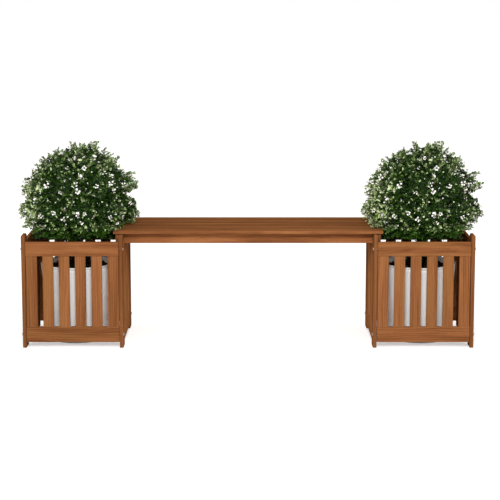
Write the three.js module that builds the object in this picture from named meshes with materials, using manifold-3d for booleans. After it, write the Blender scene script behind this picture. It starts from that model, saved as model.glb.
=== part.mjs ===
// A slatted wooden bench seat carried between two square slatted planters, each holding a potted shrub.
// Millimetres. +Z is up, +X runs along the seat and the front faces -Y.
// The origin is on the ground under the middle of the seat.
import * as THREE from "three";
import { mergeVertices } from "three/addons/utils/BufferGeometryUtils.js";
import Module from "manifold-3d";

const wasm = await Module();
wasm.setup();

// The whole bench
const OVERALL_LENGTH = 1800;
const PLANTER_WIDTH = 402;
const PLANTER_DEPTH = 402;
const SEAT_HEIGHT = 470;

// Planter posts, which are also the upright edges of the side frames
const POST_THICK = 15;
const POST_WIDTH = 62;
const POST_TOP_ROUND = 6.5;
const POST_CORNER_ROUND = 12;

// Planter rails and uprights
const RAIL_THICK = 15;
const TOP_RAIL_WIDTH = 57;
const BOTTOM_RAIL_WIDTH = 62.5;
const RAIL_DROP = 28;
const FOOT_HEIGHT = 23;
const STILE_WIDTH = 44;
const UPRIGHT_WIDTH = 42;
const UPRIGHT_THICK = 13;
const UPRIGHTS_PER_FACE = 4;
const PANEL_RECESS = 2;
const PANEL_GAP = 1.5;

// Seat
const SEAT_SLATS = 5;
const SEAT_SLAT_THICK = 13;
const SEAT_SLAT_GAP = 5.5;
const SEAT_INSET = 25;
const SEAT_OVERHANG = 24;
const APRON_WIDTH = 43.5;
const APRON_THICK = 15;
const APRON_SETBACK = 43;
const CLEAT_THICK = 15;
const CLEAT_INSET = 12;

// Joinery
const FIT = 0.3;
const EASE = 1.5;
const UPRIGHT_TENON_THICK = 6;
const UPRIGHT_TENON_LENGTH = 12;
const UPRIGHT_TENON_SHOULDER = 6;
const RAIL_TENON_THICK = 6;
const RAIL_TENON_LENGTH = 22;
const RAIL_TENON_SHOULDER = 9;
const APRON_TENON_LENGTH = 8;

// Bolts
const BOLT_RADIUS = 3;
const BOLT_LENGTH = 55;
const BOLT_HEAD_RADIUS = 6.5;
const BOLT_HEAD_HEIGHT = 3.2;
const SEAT_BOLT_RADIUS = 2.5;
const NUT_RADIUS = 5;
const NUT_HEIGHT = 5;
const BOLT_SIDES = 8;
const NUT_SIDES = 6;

// Pots
const POT_TOP_RADIUS = 150;
const POT_BASE_RADIUS = 123;
const POT_HEIGHT = 314;
const POT_WALL = 6;
const POT_LIP = 9;
const POT_GROOVE_HEIGHT = 4;
const POT_GROOVE_DEPTH = 2;
const POT_SIDES = 24;
const SOIL_BELOW_RIM = 30;
const SOIL_CROWN = 4;

// Shrubs
const SHRUB_HALF_WIDTH = 262;
const SHRUB_HALF_DEPTH = 250;
const SHRUB_BASE = 388;
const SHRUB_TOP = 815;
const SHRUB_CLEARANCE = 0.5;
const STEM_COUNT = 5;
const STEM_RADIUS = 6;
const STEM_FOOT_RING = 16;
const STEM_HEAD_RING = 70;
const STEM_REACH = 90;
const STEM_SIDES = 6;

// Rings of leafy lobes, from the lowest up. Heights and vertical radii are shares of the leafy height,
// ring radii and lobe radii are shares of the half width and half depth, and turns are shares of a turn.
const LOBE_RING_SHARES = [
  { height: 0.42, ring: 0, lobe: 0.76, rise: 0.43, count: 1, turn: 0 },
  { height: 0.14, ring: 0.5, lobe: 0.26, rise: 0.14, count: 8, turn: 0.06 },
  { height: 0.33, ring: 0.72, lobe: 0.27, rise: 0.12, count: 9, turn: 0 },
  { height: 0.58, ring: 0.62, lobe: 0.27, rise: 0.13, count: 7, turn: 0 },
  { height: 0.77, ring: 0.4, lobe: 0.25, rise: 0.105, count: 5, turn: 0 },
  { height: 0.89, ring: 0.2, lobe: 0.17, rise: 0.11, count: 1, turn: 0.02 },
  { height: 0.86, ring: 0.07, lobe: 0.19, rise: 0.1, count: 1, turn: 0.55 },
];
const SKIN_DETAIL = 8;

// Numbers without a unit
const ROUND_STEPS = 3;
const WELD = 0.0001;

// Sizes worked out from the ones above
const PLANTER_CENTRE = (OVERALL_LENGTH - PLANTER_WIDTH) / 2;
const SEAT_UNDERSIDE = SEAT_HEIGHT - SEAT_SLAT_THICK;
const POST_TOP = SEAT_UNDERSIDE - FIT;
const TOP_RAIL_TOP = POST_TOP - RAIL_DROP;
const TOP_RAIL_Z = TOP_RAIL_TOP - TOP_RAIL_WIDTH / 2;
const TOP_RAIL_BOTTOM = TOP_RAIL_TOP - TOP_RAIL_WIDTH;
const BOTTOM_RAIL_Z = FOOT_HEIGHT + BOTTOM_RAIL_WIDTH / 2;
const PANEL_Y = PLANTER_DEPTH / 2 - PANEL_RECESS - RAIL_THICK / 2;
const SIDE_X = PLANTER_WIDTH / 2 - POST_THICK / 2;
const POST_Y = PLANTER_DEPTH / 2 - POST_WIDTH / 2;
const PANEL_SPAN = PLANTER_WIDTH - 2 * POST_THICK;
const SIDE_SPAN = PLANTER_DEPTH - 2 * POST_WIDTH;
const BOLT_HOLE_RADIUS = BOLT_RADIUS + FIT;
const SEAT_BOLT_HOLE_RADIUS = SEAT_BOLT_RADIUS + FIT;
const SEAT_SPAN = OVERALL_LENGTH - 2 * PLANTER_WIDTH;
const SEAT_DEPTH = PLANTER_DEPTH - 2 * SEAT_INSET;
const SEAT_LENGTH = SEAT_SPAN + 2 * (POST_THICK + SEAT_OVERHANG);
const SEAT_SLAT_WIDTH = (SEAT_DEPTH - (SEAT_SLATS - 1) * SEAT_SLAT_GAP) / SEAT_SLATS;
const APRON_TOP = SEAT_UNDERSIDE - FIT;
const APRON_Z = APRON_TOP - APRON_WIDTH / 2;
const APRON_Y = SEAT_DEPTH / 2 - APRON_SETBACK - APRON_THICK / 2;
const SEAT_BOLT_Z = (APRON_TOP - APRON_WIDTH + TOP_RAIL_TOP) / 2;
const SOIL_TOP = POT_HEIGHT - SOIL_BELOW_RIM;

const FINISHES = {
  wood: { color: 0x9a5f35, roughness: 0.6, metalness: 0 },
  steel: { color: 0xb8b6b0, roughness: 0.35, metalness: 1 },
  pot: { color: 0xe6e7ea, roughness: 0.35, metalness: 0 },
  soil: { color: 0x2e2219, roughness: 1, metalness: 0 },
  leaves: { color: 0x2f4a24, roughness: 0.8, metalness: 0 },
};

// A named mesh with a finish of its own, placed in its group.
function piece(name, finish, geometry, at = [0, 0, 0]) {
  const mesh = new THREE.Mesh(geometry, new THREE.MeshStandardMaterial(FINISHES[finish]));
  mesh.name = name;
  mesh.position.set(...at);
  return mesh;
}

// A closed geometry as a solid that can be joined and cut.
function solidOf(geometry) {
  const bare = new THREE.BufferGeometry().setAttribute("position", geometry.getAttribute("position"));
  bare.setIndex(geometry.getIndex());
  const merged = mergeVertices(bare, WELD);
  return new wasm.Manifold(
    new wasm.Mesh({
      numProp: 3,
      vertProperties: merged.getAttribute("position").array,
      triVerts: new Uint32Array(merged.getIndex().array),
    }),
  );
}

// A solid back as a geometry.
function geometryOf(solid) {
  const mesh = solid.getMesh();
  const geometry = new THREE.BufferGeometry();
  geometry.setAttribute("position", new THREE.BufferAttribute(mesh.vertProperties, 3));
  geometry.setIndex(new THREE.BufferAttribute(mesh.triVerts, 1));
  geometry.computeVertexNormals();
  return geometry;
}

// A board's section, centred on the origin, with each corner eased by a small flat.
function easedSection(width, height) {
  const x = width / 2;
  const y = height / 2;
  const outline = new THREE.Shape();
  outline.moveTo(x - EASE, -y);
  outline.lineTo(x, EASE - y);
  outline.lineTo(x, y - EASE);
  outline.lineTo(x - EASE, y);
  outline.lineTo(EASE - x, y);
  outline.lineTo(-x, y - EASE);
  outline.lineTo(-x, EASE - y);
  outline.lineTo(EASE - x, -y);
  return outline;
}

// A board centred on the origin and as long as its largest size, with its long edges eased.
function board(size) {
  const [width, depth, height] = size;
  const longest = Math.max(...size);
  const settings = { depth: longest, bevelEnabled: false };
  if (longest === height) {
    return new THREE.ExtrudeGeometry(easedSection(width, depth), settings).translate(0, 0, -longest / 2);
  }
  if (longest === depth) {
    const alongY = new THREE.ExtrudeGeometry(easedSection(width, height), settings);
    return alongY.translate(0, 0, -longest / 2).rotateX(Math.PI / 2);
  }
  const alongX = new THREE.ExtrudeGeometry(easedSection(height, depth), settings);
  return alongX.translate(0, 0, -longest / 2).rotateY(Math.PI / 2);
}

// A board along Z centred on the origin, with its end edges eased as well as its long ones.
function easedBoard(width, depth, length) {
  const settings = {
    depth: length - 2 * EASE,
    bevelSegments: 1,
    bevelThickness: EASE,
    bevelSize: EASE,
    bevelOffset: -EASE,
  };
  const geometry = new THREE.ExtrudeGeometry(easedSection(width, depth), settings);
  return geometry.translate(0, 0, EASE - length / 2);
}

// A plain block at a place in the group's frame, used for tenons and mortises.
function block([width, depth, height], [x, y, z]) {
  return new THREE.BoxGeometry(width, depth, height).translate(x, y, z);
}

// A round bar along X at a place in the group's frame, used for drilled holes.
function drill(radius, length, [x, y, z]) {
  const bar = new THREE.CylinderGeometry(radius, radius, length, BOLT_SIDES);
  return bar.rotateZ(Math.PI / 2).translate(x, y, z);
}

// A timber made of boards and tenons, less its mortises and drilled holes, all given in the group's frame.
function timber(name, boards, tenons, cuts) {
  const [first] = boards;
  let solid = null;
  const join = (geometry) => {
    const next = solidOf(geometry);
    solid = solid ? solid.add(next) : next;
  };
  boards.forEach(({ size, at }) => join(board(size).translate(...at)));
  tenons.forEach(join);
  cuts.forEach((geometry) => {
    solid = solid.subtract(solidOf(geometry));
  });
  const geometry = geometryOf(solid).translate(...first.at.map((value) => -value));
  return piece(name, "wood", geometry, first.at);
}

// The outline of a post's top in one direction: square at the foot, rounded at both upper corners.
function roundedTop(width, height, radius) {
  const x = width / 2;
  const outline = new THREE.Shape();
  outline.moveTo(-x, -height / 2);
  outline.lineTo(x, -height / 2);
  outline.lineTo(x, height / 2 - radius);
  outline.absarc(x - radius, height / 2 - radius, radius, 0, Math.PI / 2, false);
  outline.absarc(radius - x, height / 2 - radius, radius, Math.PI / 2, Math.PI, false);
  return outline;
}

// A planter post with a top rounded over on all four sides.
function postGeometry() {
  const settings = { bevelEnabled: false, curveSegments: ROUND_STEPS };
  const across = new THREE.ExtrudeGeometry(roundedTop(POST_THICK, POST_TOP, POST_TOP_ROUND), {
    ...settings,
    depth: POST_WIDTH,
  });
  across.translate(0, 0, -POST_WIDTH / 2).rotateX(Math.PI / 2);
  const along = new THREE.ExtrudeGeometry(roundedTop(POST_WIDTH, POST_TOP, POST_CORNER_ROUND), {
    ...settings,
    depth: POST_THICK,
  });
  along.translate(0, 0, -POST_THICK / 2).rotateX(Math.PI / 2).rotateZ(Math.PI / 2);
  const blank = solidOf(easedBoard(POST_THICK, POST_WIDTH, POST_TOP));
  return blank.intersect(solidOf(across)).intersect(solidOf(along));
}

// The mortise that takes one end of a side rail, in the edge of a post.
function railMortise(x, y, z, railWidth) {
  const size = [
    RAIL_TENON_THICK + 2 * FIT,
    2 * RAIL_TENON_LENGTH,
    railWidth - 2 * RAIL_TENON_SHOULDER + 2 * FIT,
  ];
  return block(size, [x, y, z]);
}

// One post, drilled for its two bolts and mortised for its two side rails.
function post(name, x, y) {
  const towardsMiddle = -Math.sign(y);
  const edge = y + (towardsMiddle * POST_WIDTH) / 2;
  const panelY = Math.sign(y) * PANEL_Y;
  const cuts = [
    railMortise(x, edge, TOP_RAIL_Z, TOP_RAIL_WIDTH),
    railMortise(x, edge, BOTTOM_RAIL_Z, BOTTOM_RAIL_WIDTH),
    drill(BOLT_HOLE_RADIUS, 2 * POST_THICK, [x, panelY, TOP_RAIL_Z]),
    drill(BOLT_HOLE_RADIUS, 2 * POST_THICK, [x, panelY, BOTTOM_RAIL_Z]),
  ];
  const at = [x, y, POST_TOP / 2];
  const back = at.map((value) => -value);
  let solid = postGeometry();
  cuts.forEach((geometry) => {
    solid = solid.subtract(solidOf(geometry.translate(...back)));
  });
  return piece(name, "wood", geometryOf(solid), at);
}

// A round-headed bolt along X, with its head's seat at the origin, its head on +X and its shank
// towards -X. A nut is set at the given place along the shank, or left out at zero.
function boltGeometry(radius, length, nut) {
  const domeShare = { across: 0.7, up: 0.8 };
  const rimShare = 0.3;
  const profile = [
    [0, BOLT_HEAD_HEIGHT],
    [BOLT_HEAD_RADIUS * domeShare.across, BOLT_HEAD_HEIGHT * domeShare.up],
    [BOLT_HEAD_RADIUS, BOLT_HEAD_HEIGHT * rimShare],
    [BOLT_HEAD_RADIUS, FIT],
    [radius, FIT],
    [radius, -length],
    [0, -length],
  ];
  const points = profile.reverse().map(([across, up]) => new THREE.Vector2(across, up));
  let solid = solidOf(new THREE.LatheGeometry(points, BOLT_SIDES));
  if (nut) {
    const ring = new THREE.CylinderGeometry(NUT_RADIUS, NUT_RADIUS, NUT_HEIGHT, NUT_SIDES);
    solid = solid.add(solidOf(ring.translate(0, nut - NUT_HEIGHT / 2, 0)));
  }
  return geometryOf(solid).rotateZ(-Math.PI / 2);
}

// A bolt whose head faces the given way along X.
function bolt(name, facing, at, radius = BOLT_RADIUS, length = BOLT_LENGTH, nut = 0) {
  const mesh = piece(name, "steel", boltGeometry(radius, length, nut), at);
  if (facing < 0) mesh.rotation.z = Math.PI;
  return mesh;
}

// The places of evenly spaced uprights that leave equal gaps between two edges.
function uprightPlaces(span) {
  const gap = (span - UPRIGHTS_PER_FACE * UPRIGHT_WIDTH) / (UPRIGHTS_PER_FACE + 1);
  const pitch = UPRIGHT_WIDTH + gap;
  return Array.from({ length: UPRIGHTS_PER_FACE }, (_, i) => (i - (UPRIGHTS_PER_FACE - 1) / 2) * pitch);
}

// The uprights of one face, as places along the face and widths.
// Front and back faces have a stile at each end.
function faceUprights(isSide) {
  if (isSide) return uprightPlaces(SIDE_SPAN).map((along) => ({ along, width: UPRIGHT_WIDTH }));
  const panel = PANEL_SPAN - 2 * PANEL_GAP;
  const stile = (panel - STILE_WIDTH) / 2;
  return [
    { along: -stile, width: STILE_WIDTH },
    ...uprightPlaces(panel - 2 * STILE_WIDTH).map((along) => ({ along, width: UPRIGHT_WIDTH })),
    { along: stile, width: STILE_WIDTH },
  ];
}

// Turns a face's own (along, through) directions into X and Y: side faces run along Y, the others along X.
function faceAxes(isSide, along, through) {
  return isSide ? [through, along] : [along, through];
}

// The tenons at both ends of a rail of a side face.
function railTenons(through, z, railWidth) {
  return [-1, 1].map((end) =>
    block(
      [RAIL_TENON_THICK, 2 * RAIL_TENON_LENGTH, railWidth - 2 * RAIL_TENON_SHOULDER],
      [through, end * (SIDE_SPAN / 2 - FIT), z],
    ),
  );
}

// One face of a planter: a top rail, and a bottom rail glued up with its uprights.
function face(name, isSide, through, seatBoltHole) {
  const length = isSide ? SIDE_SPAN - 2 * FIT : PANEL_SPAN - 2 * PANEL_GAP;
  const uprights = faceUprights(isSide);
  const shoulder = TOP_RAIL_BOTTOM - FIT;
  const rail = (width, z) => ({
    size: [...faceAxes(isSide, length, RAIL_THICK), width],
    at: [...faceAxes(isSide, 0, through), z],
  });
  const bottomRail = rail(BOTTOM_RAIL_WIDTH, BOTTOM_RAIL_Z);
  const boards = uprights.map(({ along, width }) => ({
    size: [...faceAxes(isSide, width, UPRIGHT_THICK), shoulder - BOTTOM_RAIL_Z],
    at: [...faceAxes(isSide, along, through), (shoulder + BOTTOM_RAIL_Z) / 2],
  }));
  const tongue = (clearance, z) =>
    uprights.map(({ along, width }) =>
      block(
        [
          ...faceAxes(
            isSide,
            width - 2 * UPRIGHT_TENON_SHOULDER + 2 * clearance,
            UPRIGHT_TENON_THICK + 2 * clearance,
          ),
          2 * UPRIGHT_TENON_LENGTH,
        ],
        [...faceAxes(isSide, along, through), z],
      ),
    );
  const boltHoles = (z) =>
    [-1, 1].map((end) => drill(BOLT_HOLE_RADIUS, 2 * BOLT_LENGTH, [(end * PANEL_SPAN) / 2, through, z]));
  const endTenons = (z, width) => (isSide ? railTenons(through, z, width) : []);
  const endHoles = (z) => (isSide ? [] : boltHoles(z));
  const seatHole = () => [drill(SEAT_BOLT_HOLE_RADIUS, 2 * POST_THICK, [through, 0, SEAT_BOLT_Z])];
  return [
    timber(
      `${name}_top_rail`,
      [rail(TOP_RAIL_WIDTH, TOP_RAIL_Z)],
      endTenons(TOP_RAIL_Z, TOP_RAIL_WIDTH),
      [...tongue(FIT, TOP_RAIL_BOTTOM), ...endHoles(TOP_RAIL_Z), ...(seatBoltHole ? seatHole() : [])],
    ),
    timber(
      `${name}_slatted_panel`,
      [bottomRail, ...boards],
      [...tongue(0, shoulder), ...endTenons(BOTTOM_RAIL_Z, BOTTOM_RAIL_WIDTH)],
      endHoles(BOTTOM_RAIL_Z),
    ),
  ];
}

// A tapered pot with a grooved lip, standing on the ground.
function potGeometry() {
  const slope = (POT_TOP_RADIUS - POT_BASE_RADIUS) / POT_HEIGHT;
  const outer = (z) => POT_BASE_RADIUS + slope * z;
  const grooveTop = POT_HEIGHT - POT_LIP;
  const grooveBottom = grooveTop - POT_GROOVE_HEIGHT;
  const profile = [
    [0, 0],
    [outer(0) - EASE, 0],
    [outer(EASE), EASE],
    [outer(grooveBottom), grooveBottom],
    [outer(grooveBottom) - POT_GROOVE_DEPTH, grooveBottom],
    [outer(grooveTop) - POT_GROOVE_DEPTH, grooveTop],
    [outer(grooveTop), grooveTop],
    [outer(POT_HEIGHT - EASE), POT_HEIGHT - EASE],
    [outer(POT_HEIGHT) - EASE, POT_HEIGHT],
    [outer(POT_HEIGHT) - POT_WALL, POT_HEIGHT],
    [outer(POT_WALL) - POT_WALL, POT_WALL],
    [0, POT_WALL],
  ];
  const points = profile.map(([across, up]) => new THREE.Vector2(across, up));
  return new THREE.LatheGeometry(points, POT_SIDES).rotateX(Math.PI / 2);
}

// The potting soil that fills the pot, a little higher in the middle.
function soilGeometry() {
  const slope = (POT_TOP_RADIUS - POT_BASE_RADIUS) / POT_HEIGHT;
  const inner = (z) => POT_BASE_RADIUS + slope * z - POT_WALL - 2 * FIT;
  const bottom = POT_WALL + FIT;
  const edge = SOIL_TOP - SOIL_CROWN;
  const profile = [
    [0, bottom],
    [inner(bottom), bottom],
    [inner(edge), edge],
    [inner(edge) / 2, SOIL_TOP - SOIL_CROWN / 4],
    [0, SOIL_TOP],
  ];
  const points = profile.map(([across, up]) => new THREE.Vector2(across, up));
  return new THREE.LatheGeometry(points, POT_SIDES).rotateX(Math.PI / 2);
}

// The leafy lobes, each a centre and three radii about the shrub's own axis.
function leafyLobes() {
  const height = SHRUB_TOP - SHRUB_BASE;
  const across = new THREE.Vector3(SHRUB_HALF_WIDTH, SHRUB_HALF_DEPTH, height);
  return LOBE_RING_SHARES.flatMap(({ height: up, ring, lobe, rise, count, turn }) =>
    Array.from({ length: count }, (_, i) => {
      const angle = 2 * Math.PI * (i / count + turn);
      const centre = new THREE.Vector3(ring * Math.cos(angle), ring * Math.sin(angle), up);
      const radii = new THREE.Vector3(lobe, lobe, rise).multiply(across);
      return { centre: centre.multiply(across), radii };
    }),
  );
}

// How far the lobes reach from a point in a direction: the farthest place where the ray leaves any of them.
function leafyReach(from, direction, lobes) {
  const reaches = lobes.map(({ centre, radii }) => {
    const start = from.clone().sub(centre).divide(radii);
    const step = direction.clone().divide(radii);
    const a = step.dot(step);
    const b = start.dot(step);
    const room = b * b - a * (start.dot(start) - 1);
    return room > 0 ? (Math.sqrt(room) - b) / a : 0;
  });
  return Math.max(...reaches);
}

// The outer skin of the lobes as one closed surface, above a base at zero.
function leafySkin() {
  const lobes = leafyLobes();
  const from = lobes[0].centre;
  const ball = new THREE.IcosahedronGeometry(1, SKIN_DETAIL);
  const places = ball.getAttribute("position");
  const direction = new THREE.Vector3();
  for (let i = 0; i < places.count; i += 1) {
    direction.fromBufferAttribute(places, i).normalize();
    const place = direction.clone().multiplyScalar(leafyReach(from, direction, lobes)).add(from);
    places.setXYZ(i, place.x, place.y, place.z);
  }
  return solidOf(ball);
}

// Moves and stretches a solid so that it fills the leafy part's box exactly.
function fillLeafyBox(solid) {
  const { min, max } = solid.boundingBox();
  const low = [-SHRUB_HALF_WIDTH, -SHRUB_HALF_DEPTH, SHRUB_BASE];
  const high = [SHRUB_HALF_WIDTH, SHRUB_HALF_DEPTH, SHRUB_TOP];
  const scale = low.map((value, i) => (high[i] - value) / (max[i] - min[i]));
  const centred = solid.translate(min.map((value, i) => -(value + max[i]) / 2));
  return centred.scale(scale).translate(low.map((value, i) => (value + high[i]) / 2));
}

// The walls and the seat end that the leaves lie against, as blocks in the planter's frame.
// The inner side, where the seat is, lies on the given side along X.
function leafLimits(inward) {
  const outerWidth = PLANTER_WIDTH + 2 * SHRUB_CLEARANCE;
  const outerDepth = PLANTER_DEPTH + 2 * SHRUB_CLEARANCE;
  const wallX = POST_THICK + 2 * SHRUB_CLEARANCE;
  const wallY = RAIL_THICK + PANEL_RECESS + 2 * SHRUB_CLEARANCE;
  const railTop = TOP_RAIL_TOP + SHRUB_CLEARANCE;
  const postTop = POST_TOP + SHRUB_CLEARANCE;
  const walls = [-1, 1].flatMap((sign) => [
    block([wallX, outerDepth, railTop], [(sign * (outerWidth - wallX)) / 2, 0, railTop / 2]),
    block([outerWidth, wallY, railTop], [0, (sign * (outerDepth - wallY)) / 2, railTop / 2]),
  ]);
  const postWidth = POST_WIDTH + 2 * SHRUB_CLEARANCE;
  const posts = [-1, 1].flatMap((sx) =>
    [-1, 1].map((sy) =>
      block(
        [wallX, postWidth, postTop],
        [(sx * (outerWidth - wallX)) / 2, (sy * (outerDepth - postWidth)) / 2, postTop / 2],
      ),
    ),
  );
  const seatEnd = PLANTER_WIDTH / 2 - POST_THICK - SEAT_OVERHANG - SHRUB_CLEARANCE;
  const seatReach = SHRUB_HALF_WIDTH + SHRUB_CLEARANCE - seatEnd;
  const seatTop = SEAT_HEIGHT + SHRUB_CLEARANCE;
  const seatDepth = SEAT_DEPTH + 2 * SHRUB_CLEARANCE;
  const seat = block([seatReach, seatDepth, seatTop], [inward * (seatEnd + seatReach / 2), 0, seatTop / 2]);
  return [...walls, ...posts, seat].map(solidOf);
}

// A shrub: stems that rise from the soil into rings of leafy lobes, cut clear of the planter and the seat.
function shrubGeometry(inward) {
  let solid = fillLeafyBox(leafySkin());
  leafLimits(inward).forEach((limit) => {
    solid = solid.subtract(limit);
  });
  const foot = SOIL_TOP + FIT;
  const head = SHRUB_BASE + STEM_REACH;
  for (let i = 0; i < STEM_COUNT; i += 1) {
    const angle = (2 * Math.PI * i) / STEM_COUNT;
    const path = new THREE.LineCurve3(
      new THREE.Vector3(STEM_FOOT_RING * Math.cos(angle), STEM_FOOT_RING * Math.sin(angle), foot),
      new THREE.Vector3(STEM_HEAD_RING * Math.cos(angle), STEM_HEAD_RING * Math.sin(angle), head),
    );
    solid = solid.add(solidOf(stem(path)));
  }
  return geometryOf(solid);
}

// One straight stem along a path, cut level at its foot and head.
function stem(path) {
  const from = path.v1;
  const to = path.v2;
  const stick = new THREE.CylinderGeometry(STEM_RADIUS / 2, STEM_RADIUS, to.z - from.z, STEM_SIDES);
  stick.rotateX(Math.PI / 2).translate(0, 0, (to.z + from.z) / 2);
  const lean = new THREE.Matrix4().set(
    1, 0, (to.x - from.x) / (to.z - from.z), 0,
    0, 1, (to.y - from.y) / (to.z - from.z), 0,
    0, 0, 1, 0,
    0, 0, 0, 1,
  );
  stick.translate(0, 0, -from.z).applyMatrix4(lean);
  return stick.translate(from.x, from.y, from.z);
}

// One planter. Outward is -1 for the left one and 1 for the right one.
function planter(side, outward) {
  const group = new THREE.Group();
  group.position.x = outward * PLANTER_CENTRE;
  const sideFaces = [
    { label: "outer", sign: outward },
    { label: "inner", sign: -outward },
  ];
  const fronts = [
    { label: "front", sign: -1 },
    { label: "back", sign: 1 },
  ];
  const levels = [
    { label: "top", z: TOP_RAIL_Z },
    { label: "bottom", z: BOTTOM_RAIL_Z },
  ];
  sideFaces.forEach(({ label: faceLabel, sign: sx }) => {
    fronts.forEach(({ label: frontLabel, sign: sy }) => {
      const corner = `${side}_${faceLabel}_${frontLabel}`;
      group.add(post(`${corner}_post`, sx * SIDE_X, sy * POST_Y));
      levels.forEach(({ label, z }) => {
        group.add(bolt(`${corner}_${label}_bolt`, sx, [(sx * PLANTER_WIDTH) / 2, sy * PANEL_Y, z]));
      });
    });
    group.add(...face(`${side}_${faceLabel}`, true, sx * SIDE_X, faceLabel === "inner"));
  });
  fronts.forEach(({ label, sign }) => group.add(...face(`${side}_${label}`, false, sign * PANEL_Y, false)));
  group.add(
    piece(`${side}_pot`, "pot", potGeometry()),
    piece(`${side}_soil`, "soil", soilGeometry()),
    piece(`${side}_shrub`, "leaves", shrubGeometry(-outward)),
  );
  return group;
}

// A cross rail between the two aprons, tenoned into both.
function crossRail(name, x, cuts) {
  const length = 2 * (APRON_Y - APRON_THICK / 2 - FIT);
  const tenonWidth = APRON_WIDTH - 2 * RAIL_TENON_SHOULDER;
  const tenons = [-1, 1].map((end) =>
    block([RAIL_TENON_THICK, 2 * APRON_TENON_LENGTH, tenonWidth], [x, (end * length) / 2, APRON_Z]),
  );
  return timber(name, [{ size: [APRON_THICK, length, APRON_WIDTH], at: [x, 0, APRON_Z] }], tenons, cuts);
}

// The seat: slats on two aprons and their cross rails, with a cleat at each end that hooks over
// the planter's inner face.
function seat() {
  const group = new THREE.Group();
  const pitch = SEAT_SLAT_WIDTH + SEAT_SLAT_GAP;
  for (let i = 0; i < SEAT_SLATS; i += 1) {
    const y = (i - (SEAT_SLATS - 1) / 2) * pitch;
    const slat = easedBoard(SEAT_SLAT_THICK, SEAT_SLAT_WIDTH, SEAT_LENGTH).rotateY(Math.PI / 2);
    group.add(piece(`seat_slat_${i + 1}`, "wood", slat, [0, y, SEAT_HEIGHT - SEAT_SLAT_THICK / 2]));
  }
  const endRailX = SEAT_SPAN / 2 - FIT - APRON_THICK / 2;
  const inwardFaceY = APRON_Y - APRON_THICK / 2;
  [
    { label: "front", sign: -1 },
    { label: "back", sign: 1 },
  ].forEach(({ label, sign }) => {
    const size = [SEAT_SPAN - 2 * FIT, APRON_THICK, APRON_WIDTH];
    const mortises = [-endRailX, 0, endRailX].map((x) =>
      block(
        [
          RAIL_TENON_THICK + 2 * FIT,
          2 * APRON_TENON_LENGTH,
          APRON_WIDTH - 2 * RAIL_TENON_SHOULDER + 2 * FIT,
        ],
        [x, sign * inwardFaceY, APRON_Z],
      ),
    );
    group.add(timber(`${label}_apron`, [{ size, at: [0, sign * APRON_Y, APRON_Z] }], [], mortises));
  });
  group.add(crossRail("middle_rail", 0, []));
  const cleatX = SEAT_SPAN / 2 + POST_THICK + FIT + CLEAT_THICK / 2;
  const cleatLength = SEAT_DEPTH - 2 * CLEAT_INSET;
  [
    { label: "left", sign: -1 },
    { label: "right", sign: 1 },
  ].forEach(({ label, sign }) => {
    const hole = (x, thick) => [drill(SEAT_BOLT_HOLE_RADIUS, 2 * thick, [sign * x, 0, SEAT_BOLT_Z])];
    const size = [CLEAT_THICK, cleatLength, APRON_WIDTH];
    const cleat = { size, at: [sign * cleatX, 0, APRON_Z] };
    const headSeat = endRailX - APRON_THICK / 2;
    const nutSeat = cleatX + CLEAT_THICK / 2 + FIT - headSeat;
    const boltLength = nutSeat + NUT_HEIGHT + SEAT_BOLT_RADIUS;
    group.add(
      crossRail(`${label}_end_rail`, sign * endRailX, hole(endRailX, APRON_THICK)),
      timber(`${label}_cleat`, [cleat], [], hole(cleatX, CLEAT_THICK)),
      bolt(
        `${label}_seat_bolt`,
        -sign,
        [sign * headSeat, 0, SEAT_BOLT_Z],
        SEAT_BOLT_RADIUS,
        boltLength,
        -nutSeat,
      ),
    );
  });
  return group;
}

const bench = new THREE.Group();
bench.add(planter("left", -1), planter("right", 1), seat());

export default bench;
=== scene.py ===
"""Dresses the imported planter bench: oiled wood, zinc bolts, white pots and two flowering shrubs."""

import logging
import math
from collections.abc import Sequence
from dataclasses import dataclass, field
from enum import Enum

import bpy
import numpy as np
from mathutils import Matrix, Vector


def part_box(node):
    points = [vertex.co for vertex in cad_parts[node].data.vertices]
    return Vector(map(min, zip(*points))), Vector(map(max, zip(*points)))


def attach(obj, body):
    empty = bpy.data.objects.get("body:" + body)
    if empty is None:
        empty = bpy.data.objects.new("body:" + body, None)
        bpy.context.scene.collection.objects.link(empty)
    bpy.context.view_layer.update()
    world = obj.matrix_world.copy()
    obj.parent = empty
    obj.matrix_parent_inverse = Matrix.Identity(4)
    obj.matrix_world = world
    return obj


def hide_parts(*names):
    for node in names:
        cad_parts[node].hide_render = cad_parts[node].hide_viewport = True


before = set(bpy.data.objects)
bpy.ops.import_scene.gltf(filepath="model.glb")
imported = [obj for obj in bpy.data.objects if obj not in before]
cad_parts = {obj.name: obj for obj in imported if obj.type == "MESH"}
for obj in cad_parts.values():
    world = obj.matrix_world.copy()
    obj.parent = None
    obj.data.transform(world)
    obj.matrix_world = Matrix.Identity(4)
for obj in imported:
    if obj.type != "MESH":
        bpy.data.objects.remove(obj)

Colour = tuple[float, float, float]
Point = tuple[float, float, float]
Span = tuple[float, float]
Stops = tuple[tuple[float, Colour], ...]
Array = np.ndarray
Growth = tuple[Array, Array, Array]
Material = bpy.types.Material
Mesh = bpy.types.Mesh
Socket = bpy.types.NodeSocket
Value = float | Socket

GOLDEN_ANGLE = math.pi * (3 - math.sqrt(5))
# Slanted directions that no stem and no sprig runs along, for turning round them.
TUBE_SIDE = np.array([0.31, 0.87, 0.38])
SPRIG_SIDE = np.array([0.21, 0.34, 0.92])

log = logging.getLogger("planter_bench")


class Side(Enum):
    """The two ends of the bench, by the sign of their x."""

    LEFT = -1
    RIGHT = 1

    @property
    def word(self) -> str:
        """The side as the nodes' names have it."""
        return self.name.lower()


class GrainAxis(Enum):
    """Which way the grain of a board runs: x, y and z in the order along, across and through."""

    ALONG_BENCH = (0, 1, 2)
    FRONT_TO_BACK = (1, 2, 0)
    UPRIGHT = (2, 0, 1)


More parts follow.
